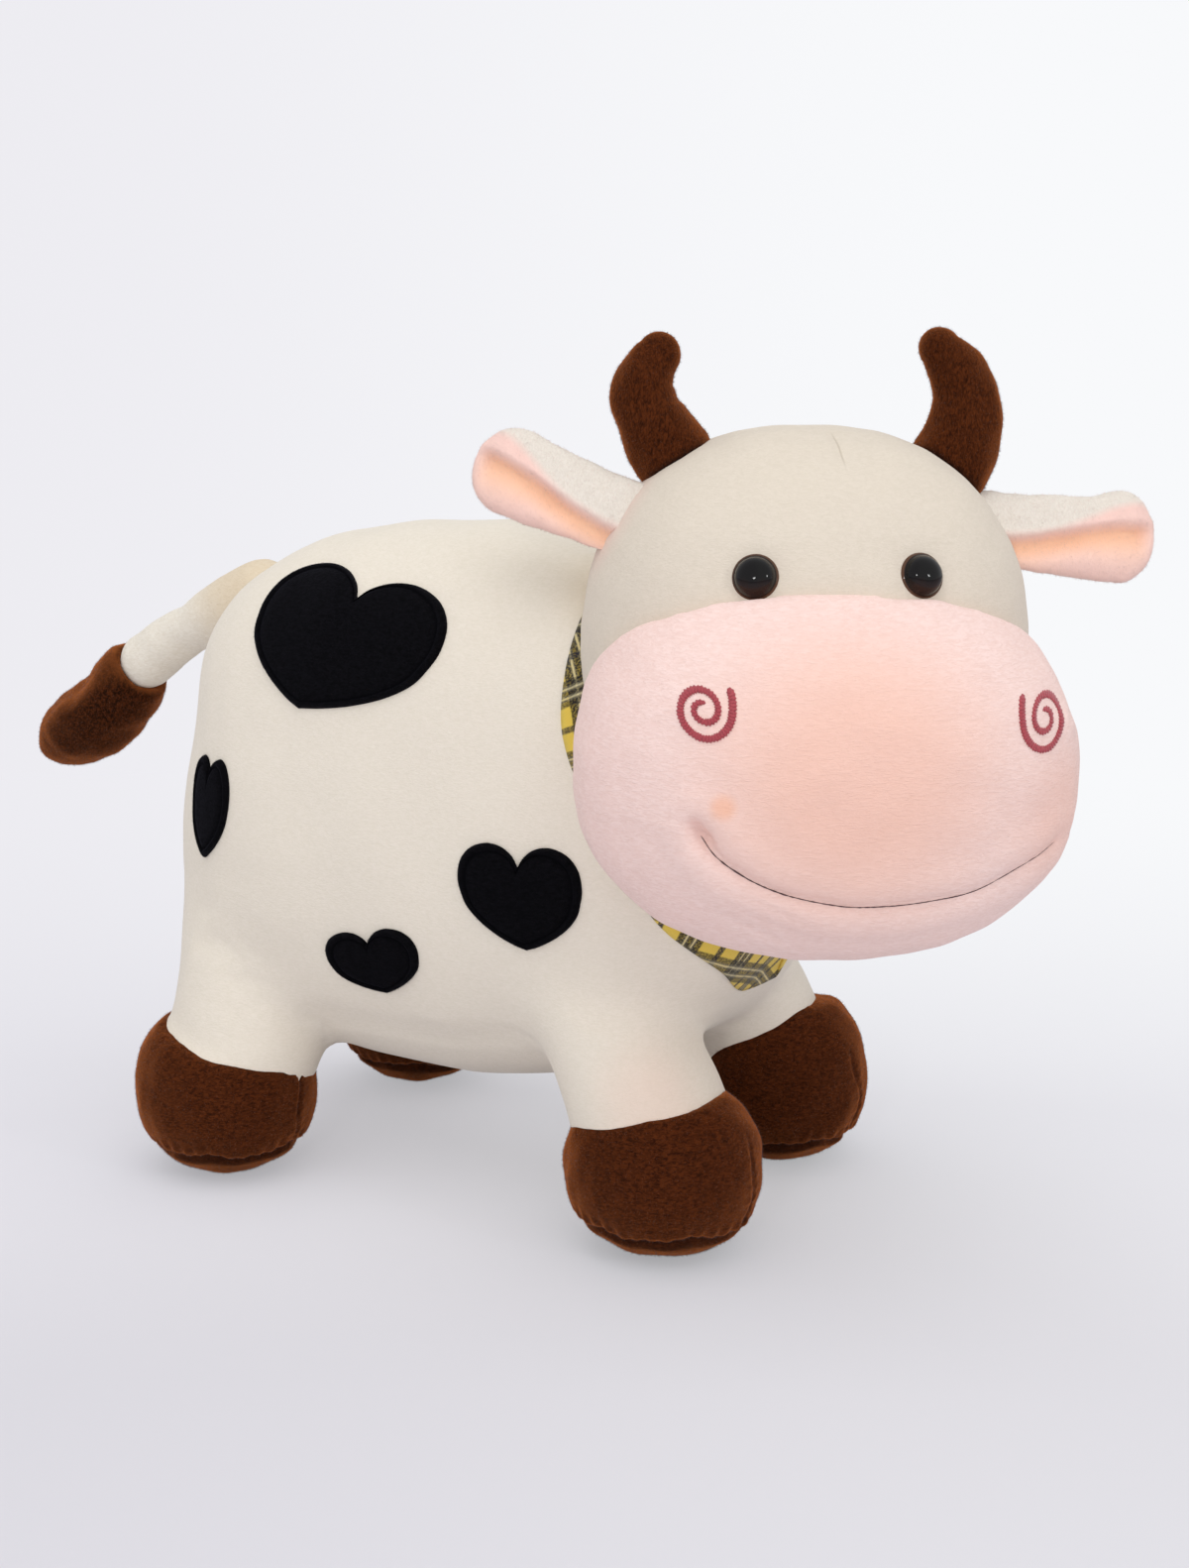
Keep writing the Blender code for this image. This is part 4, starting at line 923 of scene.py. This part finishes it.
def add_hoof(foot):
    """Ball-shaped hoof on its sole, with a drawn-in and puckered seam round the sole and one up the front. The front
    left boot is pulled a little further up its leg than the others."""
    nodes = [f"hoof_{foot}", f"sole_{foot}"]
    hoof = stuffed(f"hoof_skin_{foot}", nodes, 2.2, HOOF_PLUSH, 6, 0.8)
    points = coordinates(hoof.data)
    away = points - points.mean(0)
    slant = 0.0
    if foot == "front_left":
        inner = rise(20, -26, away @ AHEAD)
        points[:, 2] += (7 + 16 * inner) * MM * rise(40, 62, points[:, 2])
        set_coordinates(hoof.data, points)
        push(hoof, (1.4 + 4.0 * inner) * MM * rise(34, 52, points[:, 2]))
        points = coordinates(hoof.data)
        slant = 12 * MM * rise(28, 62, points[:, 2])
        away = points - points.mean(0)
    turn = np.arctan2(away[:, 1], away[:, 0])
    seed = FEET.index(foot)
    wave = SOLE_SEAM + 0.8 * MM * np.sin(5 * turn + seed) + 0.5 * MM * np.sin(11 * turn + 2 * seed)
    sole = bell(points[:, 2] - wave, 1.3)
    pucker = np.sin(34 * turn + 3 * seed) * bell(points[:, 2] - wave, 3, 3)
    ahead = rise(0, -10, away[:, 1]) * rise(9, 15, points[:, 2])
    ahead *= rise(21, 9, away[:, 2])
    beside = away[:, 0] + slant - 1.2 * MM * np.sin(points[:, 2] * math.tau / (21 * MM) + seed)
    front = ahead * bell(beside, 0.8)
    pinch = bell(np.abs(beside), 2, 3) * ahead
    pinch *= np.sin(points[:, 2] * math.tau / (4.4 * MM))
    push(hoof, -1.8 * MM * sole - 0.9 * MM * front + 0.4 * MM * pucker + 0.2 * MM * pinch
         + 0.35 * MM * ripple(points, 17 * MM, 20 + seed))
    points = coordinates(hoof.data)
    points[:, 2] = np.maximum(points[:, 2], BOOT_FLOOR)
    set_coordinates(hoof.data, points)
    # Painted shade along the drawn-in sole seam and front seam.
    set_attribute(hoof.data, "root", np.maximum(0.6 * sole, 0.45 * front))
    # Painted shade: the sole darker below its seam.
    set_attribute(hoof.data, "under", smoothstep(wave, wave - 3 * MM, points[:, 2]))
    declare(hoof, nodes)
    declare(add_fuzz(f"hoof_fuzz_{foot}", hoof, 30000, 0.95 * MM, BROWN_FUZZ, seed + 10))


# Line of a horn from its root: across, up and radius.
HORN = np.array(
    [(40, 53, 14.2), (46, 63.4, 13.8), (49.5, 70.7, 13.0), (51.9, 77.2, 12.2), (53, 83.8, 11.2), (51.8, 91, 9.8),
     (49.4, 95.8, 8.5), (46.3, 99.7, 7.0)]
) * MM


def add_horn(side, head):
    """Curved horn: rings round a line of places across and up in the head's frame, each with its radius, and a
    round tip. It is drawn in where it is sewn to the head, and painted shade darkens that line."""
    over = 1 if side == "left" else -1
    rings = track(HORN, 60)
    run = unit(rings[-1, :2] - rings[-2, :2])
    end = np.linspace(0, math.pi / 2, 14)[1:, None]
    tip = np.hstack([rings[-1, :2] + rings[-1, 2] * np.sin(end) * run, rings[-1, 2] * np.cos(end)])
    rings = np.vstack([rings, tip])
    lag, radius = around(56), rings[:, 2:]
    across, up = np.moveaxis(band(rings[:, :2], radius * np.cos(lag)), -1, 0)
    sidestep = (4.0 - 5.2 * rise(64, 101, rings[:, 1]))[:, None] * MM
    up = up - (1.0 if side == "left" else 2.8) * MM * rise(60, 100, up)
    local = np.stack([over * across + sidestep, 4 * MM + 0.94 * radius * np.sin(lag), up], -1)
    horn = surface(f"horn_skin_{side}", to_world(local, HEAD_PLACE), HORN_PLUSH)
    cap_ends(horn)
    points = coordinates(horn.data)
    gap = gap_to(horn, head)
    push(horn, 0.45 * MM * ripple(points, 14 * MM, 31 + over) - 0.7 * MM * bell(gap, 1.4))
    # Painted shade along the line where the horn is sewn to the head.
    set_attribute(horn.data, "root", bell(gap, 1.3))
    declare(horn, [f"horn_{side}"])
    declare(add_fuzz(f"horn_fuzz_{side}", horn, 13000, 1.0 * MM, BROWN_FUZZ, over + 3))


def add_tail():
    """Tail whose root is drawn into the body, and its hanging tuft."""
    tail = skin("tail_skin", [node_copy("tail_shaft")], 1.8 * MM, TAIL_PLUSH)
    relax(tail, 12)
    tip = node_points("tail_tuft").mean(0)
    pivot = joint_place("tail_lift")
    run = unit(tip - pivot)
    points = coordinates(tail.data)
    flare = rise(32, 4, lengths(points - pivot))
    upward = np.clip(vertex_normals(tail.data)[:, 2], -1, 1)
    push(tail, flare * (5.5 + 1.5 * upward) * MM + 0.3 * MM * ripple(points, 16 * MM, 41))
    points = coordinates(tail.data)
    inward = rise(5, -3, (points - pivot) @ run)[:, None]
    set_coordinates(tail.data, points - 10 * MM * inward * run)
    relax(tail, 4)
    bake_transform(tail)
    declare(tail, ["tail_shaft"], body=None)
    tuft = skin("tuft_skin", [node_copy("tail_tuft")], 1.8 * MM, TUFT_PLUSH)
    relax(tuft, 10)
    points = coordinates(tuft.data)
    along = (points - points.mean(0)) @ run
    centre = points.mean(0) + along[:, None] * run
    end = rise(-2, 30, along)[:, None]
    upper = rise(0, 12, (points - centre)[:, 2])[:, None]
    slim = 0.3 * upper * bell(along, 16, -2)[:, None]
    set_coordinates(tuft.data, centre + (points - centre) * (1.05 - slim - 0.25 * end) + 3.5 * MM * end * run)
    points = coordinates(tuft.data)
    push(tuft, 0.5 * MM * ripple(points, 15 * MM, 43))
    set_attribute(tuft.data, "root", np.zeros(len(points)))
    upward = np.clip(vertex_normals(tuft.data)[:, 2], 0, 1)
    # Painted light on the upward-facing top of the tuft.
    set_attribute(tuft.data, "top", upward**1.5 * rise(16, -10, (points - points.mean(0)) @ run))
    declare(tuft, ["tail_tuft"], "tuft")
    declare(add_fuzz("tuft_fuzz", tuft, 15000, 1.0 * MM, BROWN_FUZZ, 20), body="tuft")


def ear_frame(side):
    """Ear's own frame from its joint and its two CAD nodes: X across, Y along and Z out of the hollow."""
    origin = joint_place(f"ear_{side}_flap")
    back, lining = node_points(f"ear_back_{side}"), node_points(f"ear_lining_{side}")
    reach = lengths(back - origin)
    along = unit(back[reach > 0.93 * reach.max()].mean(0) - origin)
    out = np.linalg.svd(lining - lining.mean(0), full_matrices=False)[2][2]
    out = unit(out - (out @ along) * along)
    if out @ (lining.mean(0) - back.mean(0)) < 0:
        out = -out
    across = np.cross(along, out)
    place = Matrix(np.column_stack([across, along, out]).tolist()).to_4x4()
    place.translation = origin
    return place, reach.max()


def add_ear(side):
    """Ear folded lengthwise like a roll: its section is an oval whose front is drawn in along a crease. The crease
    runs from the middle of the tip to the low corner of the root; above it the wall is steep, below it is gentle."""
    place, length = ear_frame(side)
    length *= 0.965 if side == "right" else 1.0
    over = 1 if side == "right" else -1
    s = np.concatenate([np.linspace(-0.26, 0.7, 56), 0.7 + 0.3 * np.sin(np.linspace(0, math.pi / 2, 29))[1:]])[:, None]
    lag = around(128)
    lag = lag + 0.28 * np.sin(2 * lag)
    tip = np.clip((s - 0.72) / 0.28, 0, 1)
    round_end = np.sqrt(np.clip(1 - tip**2, 0, 1))
    half = (12.6 + 1.4 * smoothstep(0, 0.6, s)) * round_end
    thick = (5.4 + 1.1 * smoothstep(0.1, 0.7, s)) * np.sqrt(round_end)
    up = half * np.cos(lag)
    out = thick * np.sign(np.sin(lag)) * np.abs(np.sin(lag)) ** 0.8
    curl = 5.0 if side == "left" else 2.0
    up = up + curl * smoothstep(0.45, 0.95, s) * smoothstep(-6, 9, up) + (1.3 if side == "right" else 0.0)
    crease = -6.5 + 9.5 * smoothstep(-0.2, 0.95, s)
    below = np.clip(crease - up, 0, None)
    above = np.clip(up - crease, 0, None)
    hollow = np.exp(-((below / (4.8 + 2.5 * smoothstep(0.3, 0.8, s))) ** 2) - (above / 2.4) ** 2)
    front = smoothstep(-0.05, 0.35, np.sin(lag))
    reach = smoothstep(1.0, 0.86, s) * (0.75 + 0.25 * smoothstep(0.0, 0.3, s))
    out = out - 4.0 * hollow * front * reach + 0.9 * front * np.exp(-(((above - 3.4) / 2.2) ** 2)) * (above > 0)
    bend = -2.5 * np.clip(s, 0, 1) ** 2
    local = np.stack([over * up * MM, s * length * np.ones_like(up), (out + 0.5 + bend) * MM], -1)
    wide = 3.4 + 6.0 * smoothstep(0.2, 0.9, s)
    pink = np.where(above > 0, smoothstep(wide + 2.4, wide - 2.0, above), 1.0) * smoothstep(-0.35, 0.0, np.sin(lag))
    pink = np.maximum(pink, smoothstep(0.86, 0.97, s) * smoothstep(-0.8, -0.2, np.sin(lag)))
    # Painted glow of light shining through the ear, brightest in the hollow.
    painted_glow = front * np.exp(-((below / (5.5 + 3 * smoothstep(0.4, 0.8, s))) ** 2) - (above / 1.9) ** 2)
    painted_glow = painted_glow * smoothstep(1.0, 0.84, s)
    masks = {"pink": pink, "painted_glow": painted_glow}
    ear = surface(f"ear_{side}_leaf", to_world(local, place), EAR_PLUSH, attributes=masks)
    cap_ends(ear)
    push(ear, 0.25 * MM * ripple(coordinates(ear.data), 11 * MM, 51))
    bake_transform(ear)
    declare(ear, [f"ear_back_{side}", f"ear_lining_{side}"], body=None)
    fuzz = add_fuzz(f"ear_fuzz_{side}", ear, 9000, 0.9 * MM, PINK_FUZZ, 30 + over)
    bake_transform(fuzz)
    declare(fuzz, body=None)


def cap_ends(piece):
    """Closes open rims of a piece and turns its faces out."""
    with opened(piece.data) as shell:
        bmesh.ops.holes_fill(shell, edges=[edge for edge in shell.edges if edge.is_boundary], sides=0)
        bmesh.ops.recalc_face_normals(shell, faces=shell.faces)


# Width, height, share of the torso's length, azimuth, elevation and roll of each heart, close to the source's, and
# how far its tip leans to one side.
HEARTS = {
    "back_right": (83, 53, 0.622, 180, 45, 12, -8),
    "shoulder_right": (46, 36, 0.325, 180, -15, 0, 2.5),
    "belly_right": (40, 25, 0.56, 180, -36, -12, 0),
    "rump_right": (26, 37.5, 0.78, 166, -1.5, 0, -4),
    "back_left": (62, 50, 0.62, 0, 30, 10, 0),
    "belly_left": (40, 34, 0.72, 0, -22, -8, 0),
    "shoulder_left": (48, 42, 0.30, 0, 2, 6, 0),
}
# Half outline of a heart from its notch to its tip, as shares of half its width and of its height.
HEART_SIDE = np.array(
    [(0, 0.21), (0.1, 0.1), (0.28, 0.02), (0.52, 0), (0.78, 0.06), (0.95, 0.19), (1, 0.36), (0.96, 0.51),
     (0.88, 0.64), (0.7, 0.77), (0.46, 0.88), (0.2, 0.965), (0, 1.01)]
)
# Section of a heart's rim, in millimetres: distance from the edge and height.
HEART_RIM = np.array(
    [(0, 0.2), (0.25, 1.0), (0.6, 1.5), (1.0, 1.85), (1.5, 2.0), (2.0, 1.8), (2.4, 1.35), (2.8, 1.2), (3.3, 1.55),
     (4.2, 1.9), (6.0, 2.1), (30, 2.3)]
)


def heart_outline(width, height, lean, count):
    """Full heart with a small tip: one side from the notch over its lobe to the tip, and its mirror image. The tip
    leans to one side."""
    side = track(HEART_SIDE, count // 2 + 1)
    whole = np.vstack([side, side[-2:0:-1] * (-1, 1)])
    outline = (whole * (1, -1) + (0, 0.485)) * (width / 2, height)
    outline[:, 0] += lean * np.clip(whole[:, 1], 0, 1) ** 3
    return outline


def aimed(point, direction, roll=0.0):
    """Frame at a point whose Z follows a direction and whose Y points as far up as it can, then rolled."""
    out = Vector(direction).normalized()
    side = Vector((0, 0, 1)).cross(out).normalized()
    up = out.cross(side)
    turn = Matrix((side, up, out)).transposed().to_4x4()
    return Matrix.Translation(point) @ turn @ Matrix.Rotation(roll, 4, "Z")


def add_heart(name, body):
    """Padded heart laid on the body: rings of the outline shrink to its middle; the edge is a rolled rim and a
    stitch line runs just inside it."""
    width, height, along, azimuth, elevation, roll, lean = HEARTS[name]
    azimuth, elevation = math.radians(azimuth), math.radians(elevation)
    level = math.cos(elevation)
    facing = Vector((level * math.cos(azimuth), level * math.sin(azimuth), math.sin(elevation)))
    target = TORSO_PLACE @ Vector((0, (along - 0.5) * TORSO_LENGTH, 0))
    tree = BVHTree.FromObject(body, bpy.context.evaluated_depsgraph_get())
    point, normal, _, _ = tree.ray_cast(target + facing * TORSO_LENGTH, -facing)
    place = aimed(point, normal, math.radians(-roll))
    outline = heart_outline(width * MM, height * MM, lean * MM, 180)
    size = lengths(outline).mean()
    inset = np.concatenate([HEART_RIM[:-1, 0], np.linspace(8.0, 0.999 * size / MM, 9)])
    rings = np.append(1 - np.minimum(inset * MM / size, 1), 0.0)
    top = np.interp(inset, *HEART_RIM.T) * MM
    over = outline * rings[:, None, None]
    flat = np.concatenate([over[::-1], over[[3, 8, 14, -1]]])
    lift = np.concatenate([top[[-1]], top[::-1], np.full(4, -0.8 * MM)])[:, None]
    stitch = np.exp(-(((np.concatenate([[size / MM], inset[::-1], np.zeros(4)]) - 2.7) / 0.35) ** 2))
    heart = surface(f"heart_pad_{name}", laid(flat, 60, lift, place, body), HEART_PLUSH,
                    attributes={"stitch": np.broadcast_to(stitch[:, None], flat.shape[:2])})
    declare(heart, [f"heart_{name}"])
    declare(add_fuzz(f"heart_fuzz_{name}", heart, 5000, 0.7 * MM, BLACK_FUZZ, 60 + len(name)))


def bent(start, control, end, share):
    """Places at shares of a curve that leaves its start towards a control place."""
    return start * (1 - share) ** 2 + 2 * control * share * (1 - share) + end * share**2


# Neckerchief on its own plane: radius of the neck's arc, hanging corner, middle that the folds fan out from, turn of
# the check, height above the body and thickness.
NECK_RADIUS = 55.6 * MM
CLOTH_CORNER = np.array([22, -97]) * MM
CLOTH_MIDDLE = np.array([0, -30]) * MM
CLOTH_TURN = 0.35
CLOTH_LIFT = 1.3 * MM
CLOTH_THICKNESS = 0.7 * MM


def add_neckerchief(body):
    """Checked cloth round the neck: rows run from under the head out to the edge of the cloth, which is an arc
    behind the neck and two bent edges down to the hanging corner. Folds fan out from the neck."""
    turn = np.linspace(0, math.pi, 90)
    arc = NECK_RADIUS * np.stack([np.cos(turn), np.sin(turn)], 1)
    share = np.linspace(0, 1, 90)[1:-1, None]
    right = bent(np.array([-NECK_RADIUS, 0]), np.array([-56, -105]) * MM, CLOTH_CORNER, share)
    left = bent(np.array([NECK_RADIUS, 0]), np.array([-20, -58]) * MM, CLOTH_CORNER, share)
    edge = np.concatenate([arc, right, CLOTH_CORNER[None], left[::-1]])
    rows = np.linspace(0.35, 1.0, 46)
    flat = CLOTH_MIDDLE + (edge - CLOTH_MIDDLE) * rows[:, None, None]
    place = aimed(TORSO_PLACE.translation, Vector((-21 * MM, -TORSO_LENGTH / 2, 63 * MM)))
    way = np.arctan2(flat[..., 1] - CLOTH_MIDDLE[1], flat[..., 0] - CLOTH_MIDDLE[0])
    folds = 0.7 * MM * (1 + np.sin(9 * way + 1.2 * np.sin(2 * way))) * smoothstep(0.4, 1.0, rows)[:, None]
    points = laid(flat, 160, CLOTH_LIFT + folds, place, body)
    cosine, sine = math.cos(CLOTH_TURN), math.sin(CLOTH_TURN)
    slope = np.array([[cosine, -sine], [sine, cosine]])
    steps = np.vstack([lengths(flat[0] - CLOTH_MIDDLE)[None], np.linalg.norm(np.diff(points, axis=0), axis=2)])
    spread = np.cumsum(steps, axis=0)[..., None] * np.stack([np.cos(way), np.sin(way)], -1) @ slope.T
    cloth = surface("neckerchief_cloth", points, CHECKED_COTTON, uv=spread, closed=False)
    wall = cloth.modifiers.new("thickness", "SOLIDIFY")
    wall.thickness = CLOTH_THICKNESS
    wall.offset = 1.0
    mesh = baked(cloth)
    cloth.modifiers.clear()
    cloth.data = mesh
    declare(cloth, ["neckerchief"])


# Camera of the photograph.
CAMERA_PLACE = Vector((-0.67058, -0.41436, 0.3003))
CAMERA_TURN = math.radians(-61)
CAMERA_PITCH = math.radians(10.9)
CAMERA_LENS = 50.06
CAMERA_RIGHT = Vector((math.cos(CAMERA_TURN), math.sin(CAMERA_TURN), 0))
LAMP_AIM = Vector((0, 0, 0.13))
FLOOR_REACH = 12.0
SKY_STRENGTH = 0.78
# Drop of a view line, as a share of its length, from which the floor starts to fade into the backdrop.
FADE_START = -0.44


def add_camera():
    """Camera at the photograph's place and angle."""
    level = math.cos(CAMERA_PITCH)
    back = Vector((math.sin(CAMERA_TURN) * level, -math.cos(CAMERA_TURN) * level, math.sin(CAMERA_PITCH)))
    data = bpy.data.cameras.new("photo_camera")
    data.lens = CAMERA_LENS
    data.sensor_width = 36
    data.clip_start = 0.01
    camera = linked("photo_camera", data)
    turn = Matrix((CAMERA_RIGHT, back.cross(CAMERA_RIGHT), back)).transposed().to_4x4()
    camera.matrix_world = Matrix.Translation(CAMERA_PLACE) @ turn
    bpy.context.scene.camera = camera


def add_lamp(name, place, size, power, mirrored=True):
    """Square soft lamp that looks at the middle of the toy. One that isn't mirrored leaves no window in the eyes."""
    data = bpy.data.lights.new(name, "AREA")
    data.energy = power
    data.size = size
    lamp = linked(name, data)
    aim = (LAMP_AIM - Vector(place)).to_track_quat("-Z", "Y")
    lamp.matrix_world = Matrix.Translation(place) @ aim.to_matrix().to_4x4()
    lamp.visible_glossy = mirrored


def backdrop_shade(nodes, way):
    """Backdrop's colour in a direction from the camera: a little darker towards the left of the picture."""
    side = nodes.vector("DOT_PRODUCT", way, tuple(CAMERA_RIGHT), "Value")
    return nodes.mix(nodes.ramp(side, -0.3, 0.2), linear((237, 236, 241)), linear((248, 249, 251)))


def show_both(nodes, output, share, first, second):
    """Shows one shader and, by a share, another."""
    both = nodes.add("ShaderNodeMixShader", {0: share, 1: first.outputs[0], 2: second.outputs[0]})
    nodes.tree.links.new(both.outputs[0], nodes.tree.nodes[output].inputs["Surface"])


def add_sky():
    """Soft even sky that shows as a white backdrop to the camera and in the eyes."""
    world = bpy.data.worlds.new("studio")
    bpy.context.scene.world = world
    world.use_nodes = True
    nodes = Nodes(world.node_tree)
    sky = world.node_tree.nodes["Background"]
    sky.inputs["Color"].default_value = linear((243, 244, 248))
    sky.inputs["Strength"].default_value = SKY_STRENGTH
    way = nodes.add("ShaderNodeTexCoord").outputs["Generated"]
    white = nodes.add("ShaderNodeBackground", {"Color": backdrop_shade(nodes, way), "Strength": 1.0})
    path = nodes.add("ShaderNodeLightPath").outputs
    seen = nodes.math("MAXIMUM", path["Is Camera Ray"], path["Is Glossy Ray"])
    show_both(nodes, "World Output", nodes.math("MAXIMUM", seen, path["Is Transmission Ray"]), sky, white)


def add_floor():
    """Pale floor that fades into the backdrop for the camera, the more the further away it is."""
    mesh = bpy.data.meshes.new("floor")
    corners = [(FLOOR_REACH * x, FLOOR_REACH * y, 0) for x, y in ((-1, -1), (1, -1), (1, 1), (-1, 1))]
    mesh.from_pydata(corners, [], [(0, 1, 2, 3)])
    finish, nodes, shader = new_finish("floor_paper")
    for key, value in (("Base Color", linear((225, 223, 229))), ("Roughness", 0.9), ("Specular IOR Level", 0.1)):
        shader.inputs[key].default_value = value
    place = nodes.add("ShaderNodeTexCoord").outputs["Object"]
    way = nodes.vector("NORMALIZE", nodes.vector("SUBTRACT", place, tuple(CAMERA_PLACE)))
    drop = nodes.add("ShaderNodeSeparateXYZ", {"Vector": way}).outputs["Z"]
    level = nodes.math("ADD", nodes.times(nodes.ramp(drop, FADE_START, -0.34), 0.22), 0.78)
    glow = nodes.add("ShaderNodeEmission", {"Color": backdrop_shade(nodes, way), "Strength": level})
    fade = nodes.math("MAXIMUM", nodes.ramp(drop, FADE_START, -0.18), 0.42)
    fade = nodes.times(fade, nodes.add("ShaderNodeLightPath").outputs["Is Camera Ray"])
    show_both(nodes, "Material Output", fade, shader, glow)
    add_object("floor", mesh, finish)


bpy.context.scene.view_settings.view_transform = "Standard"
add_camera()
add_lamp("high_lamp", (-0.6, -0.3, 1.6), 1.6, 10.0, mirrored=False)
add_lamp("front_lamp", (-1.35, -0.45, 0.6), 0.15, 2.1)
add_lamp("right_lamp", (-0.35, -1.45, 0.6), 0.15, 1.6)
add_sky()
add_floor()
body_skin = add_body()
head_skin = add_head()
muzzle_skin = add_muzzle(head_skin)
for each_side in ("left", "right"):
    add_eye(each_side)
    add_horn(each_side, head_skin)
    add_ear(each_side)
for each_foot in FEET:
    add_hoof(each_foot)
add_tail()
for each_heart in HEARTS:
    add_heart(each_heart, body_skin)
add_neckerchief(body_skin)
add_nostril("nostril_stitch_right", (-46.4 * MM, 28.8 * MM), 1, muzzle_skin)
add_nostril("nostril_stitch_left", (58.4 * MM, 26.6 * MM), -1, muzzle_skin, 1.12, 0.95)
add_mouth_thread(muzzle_skin)
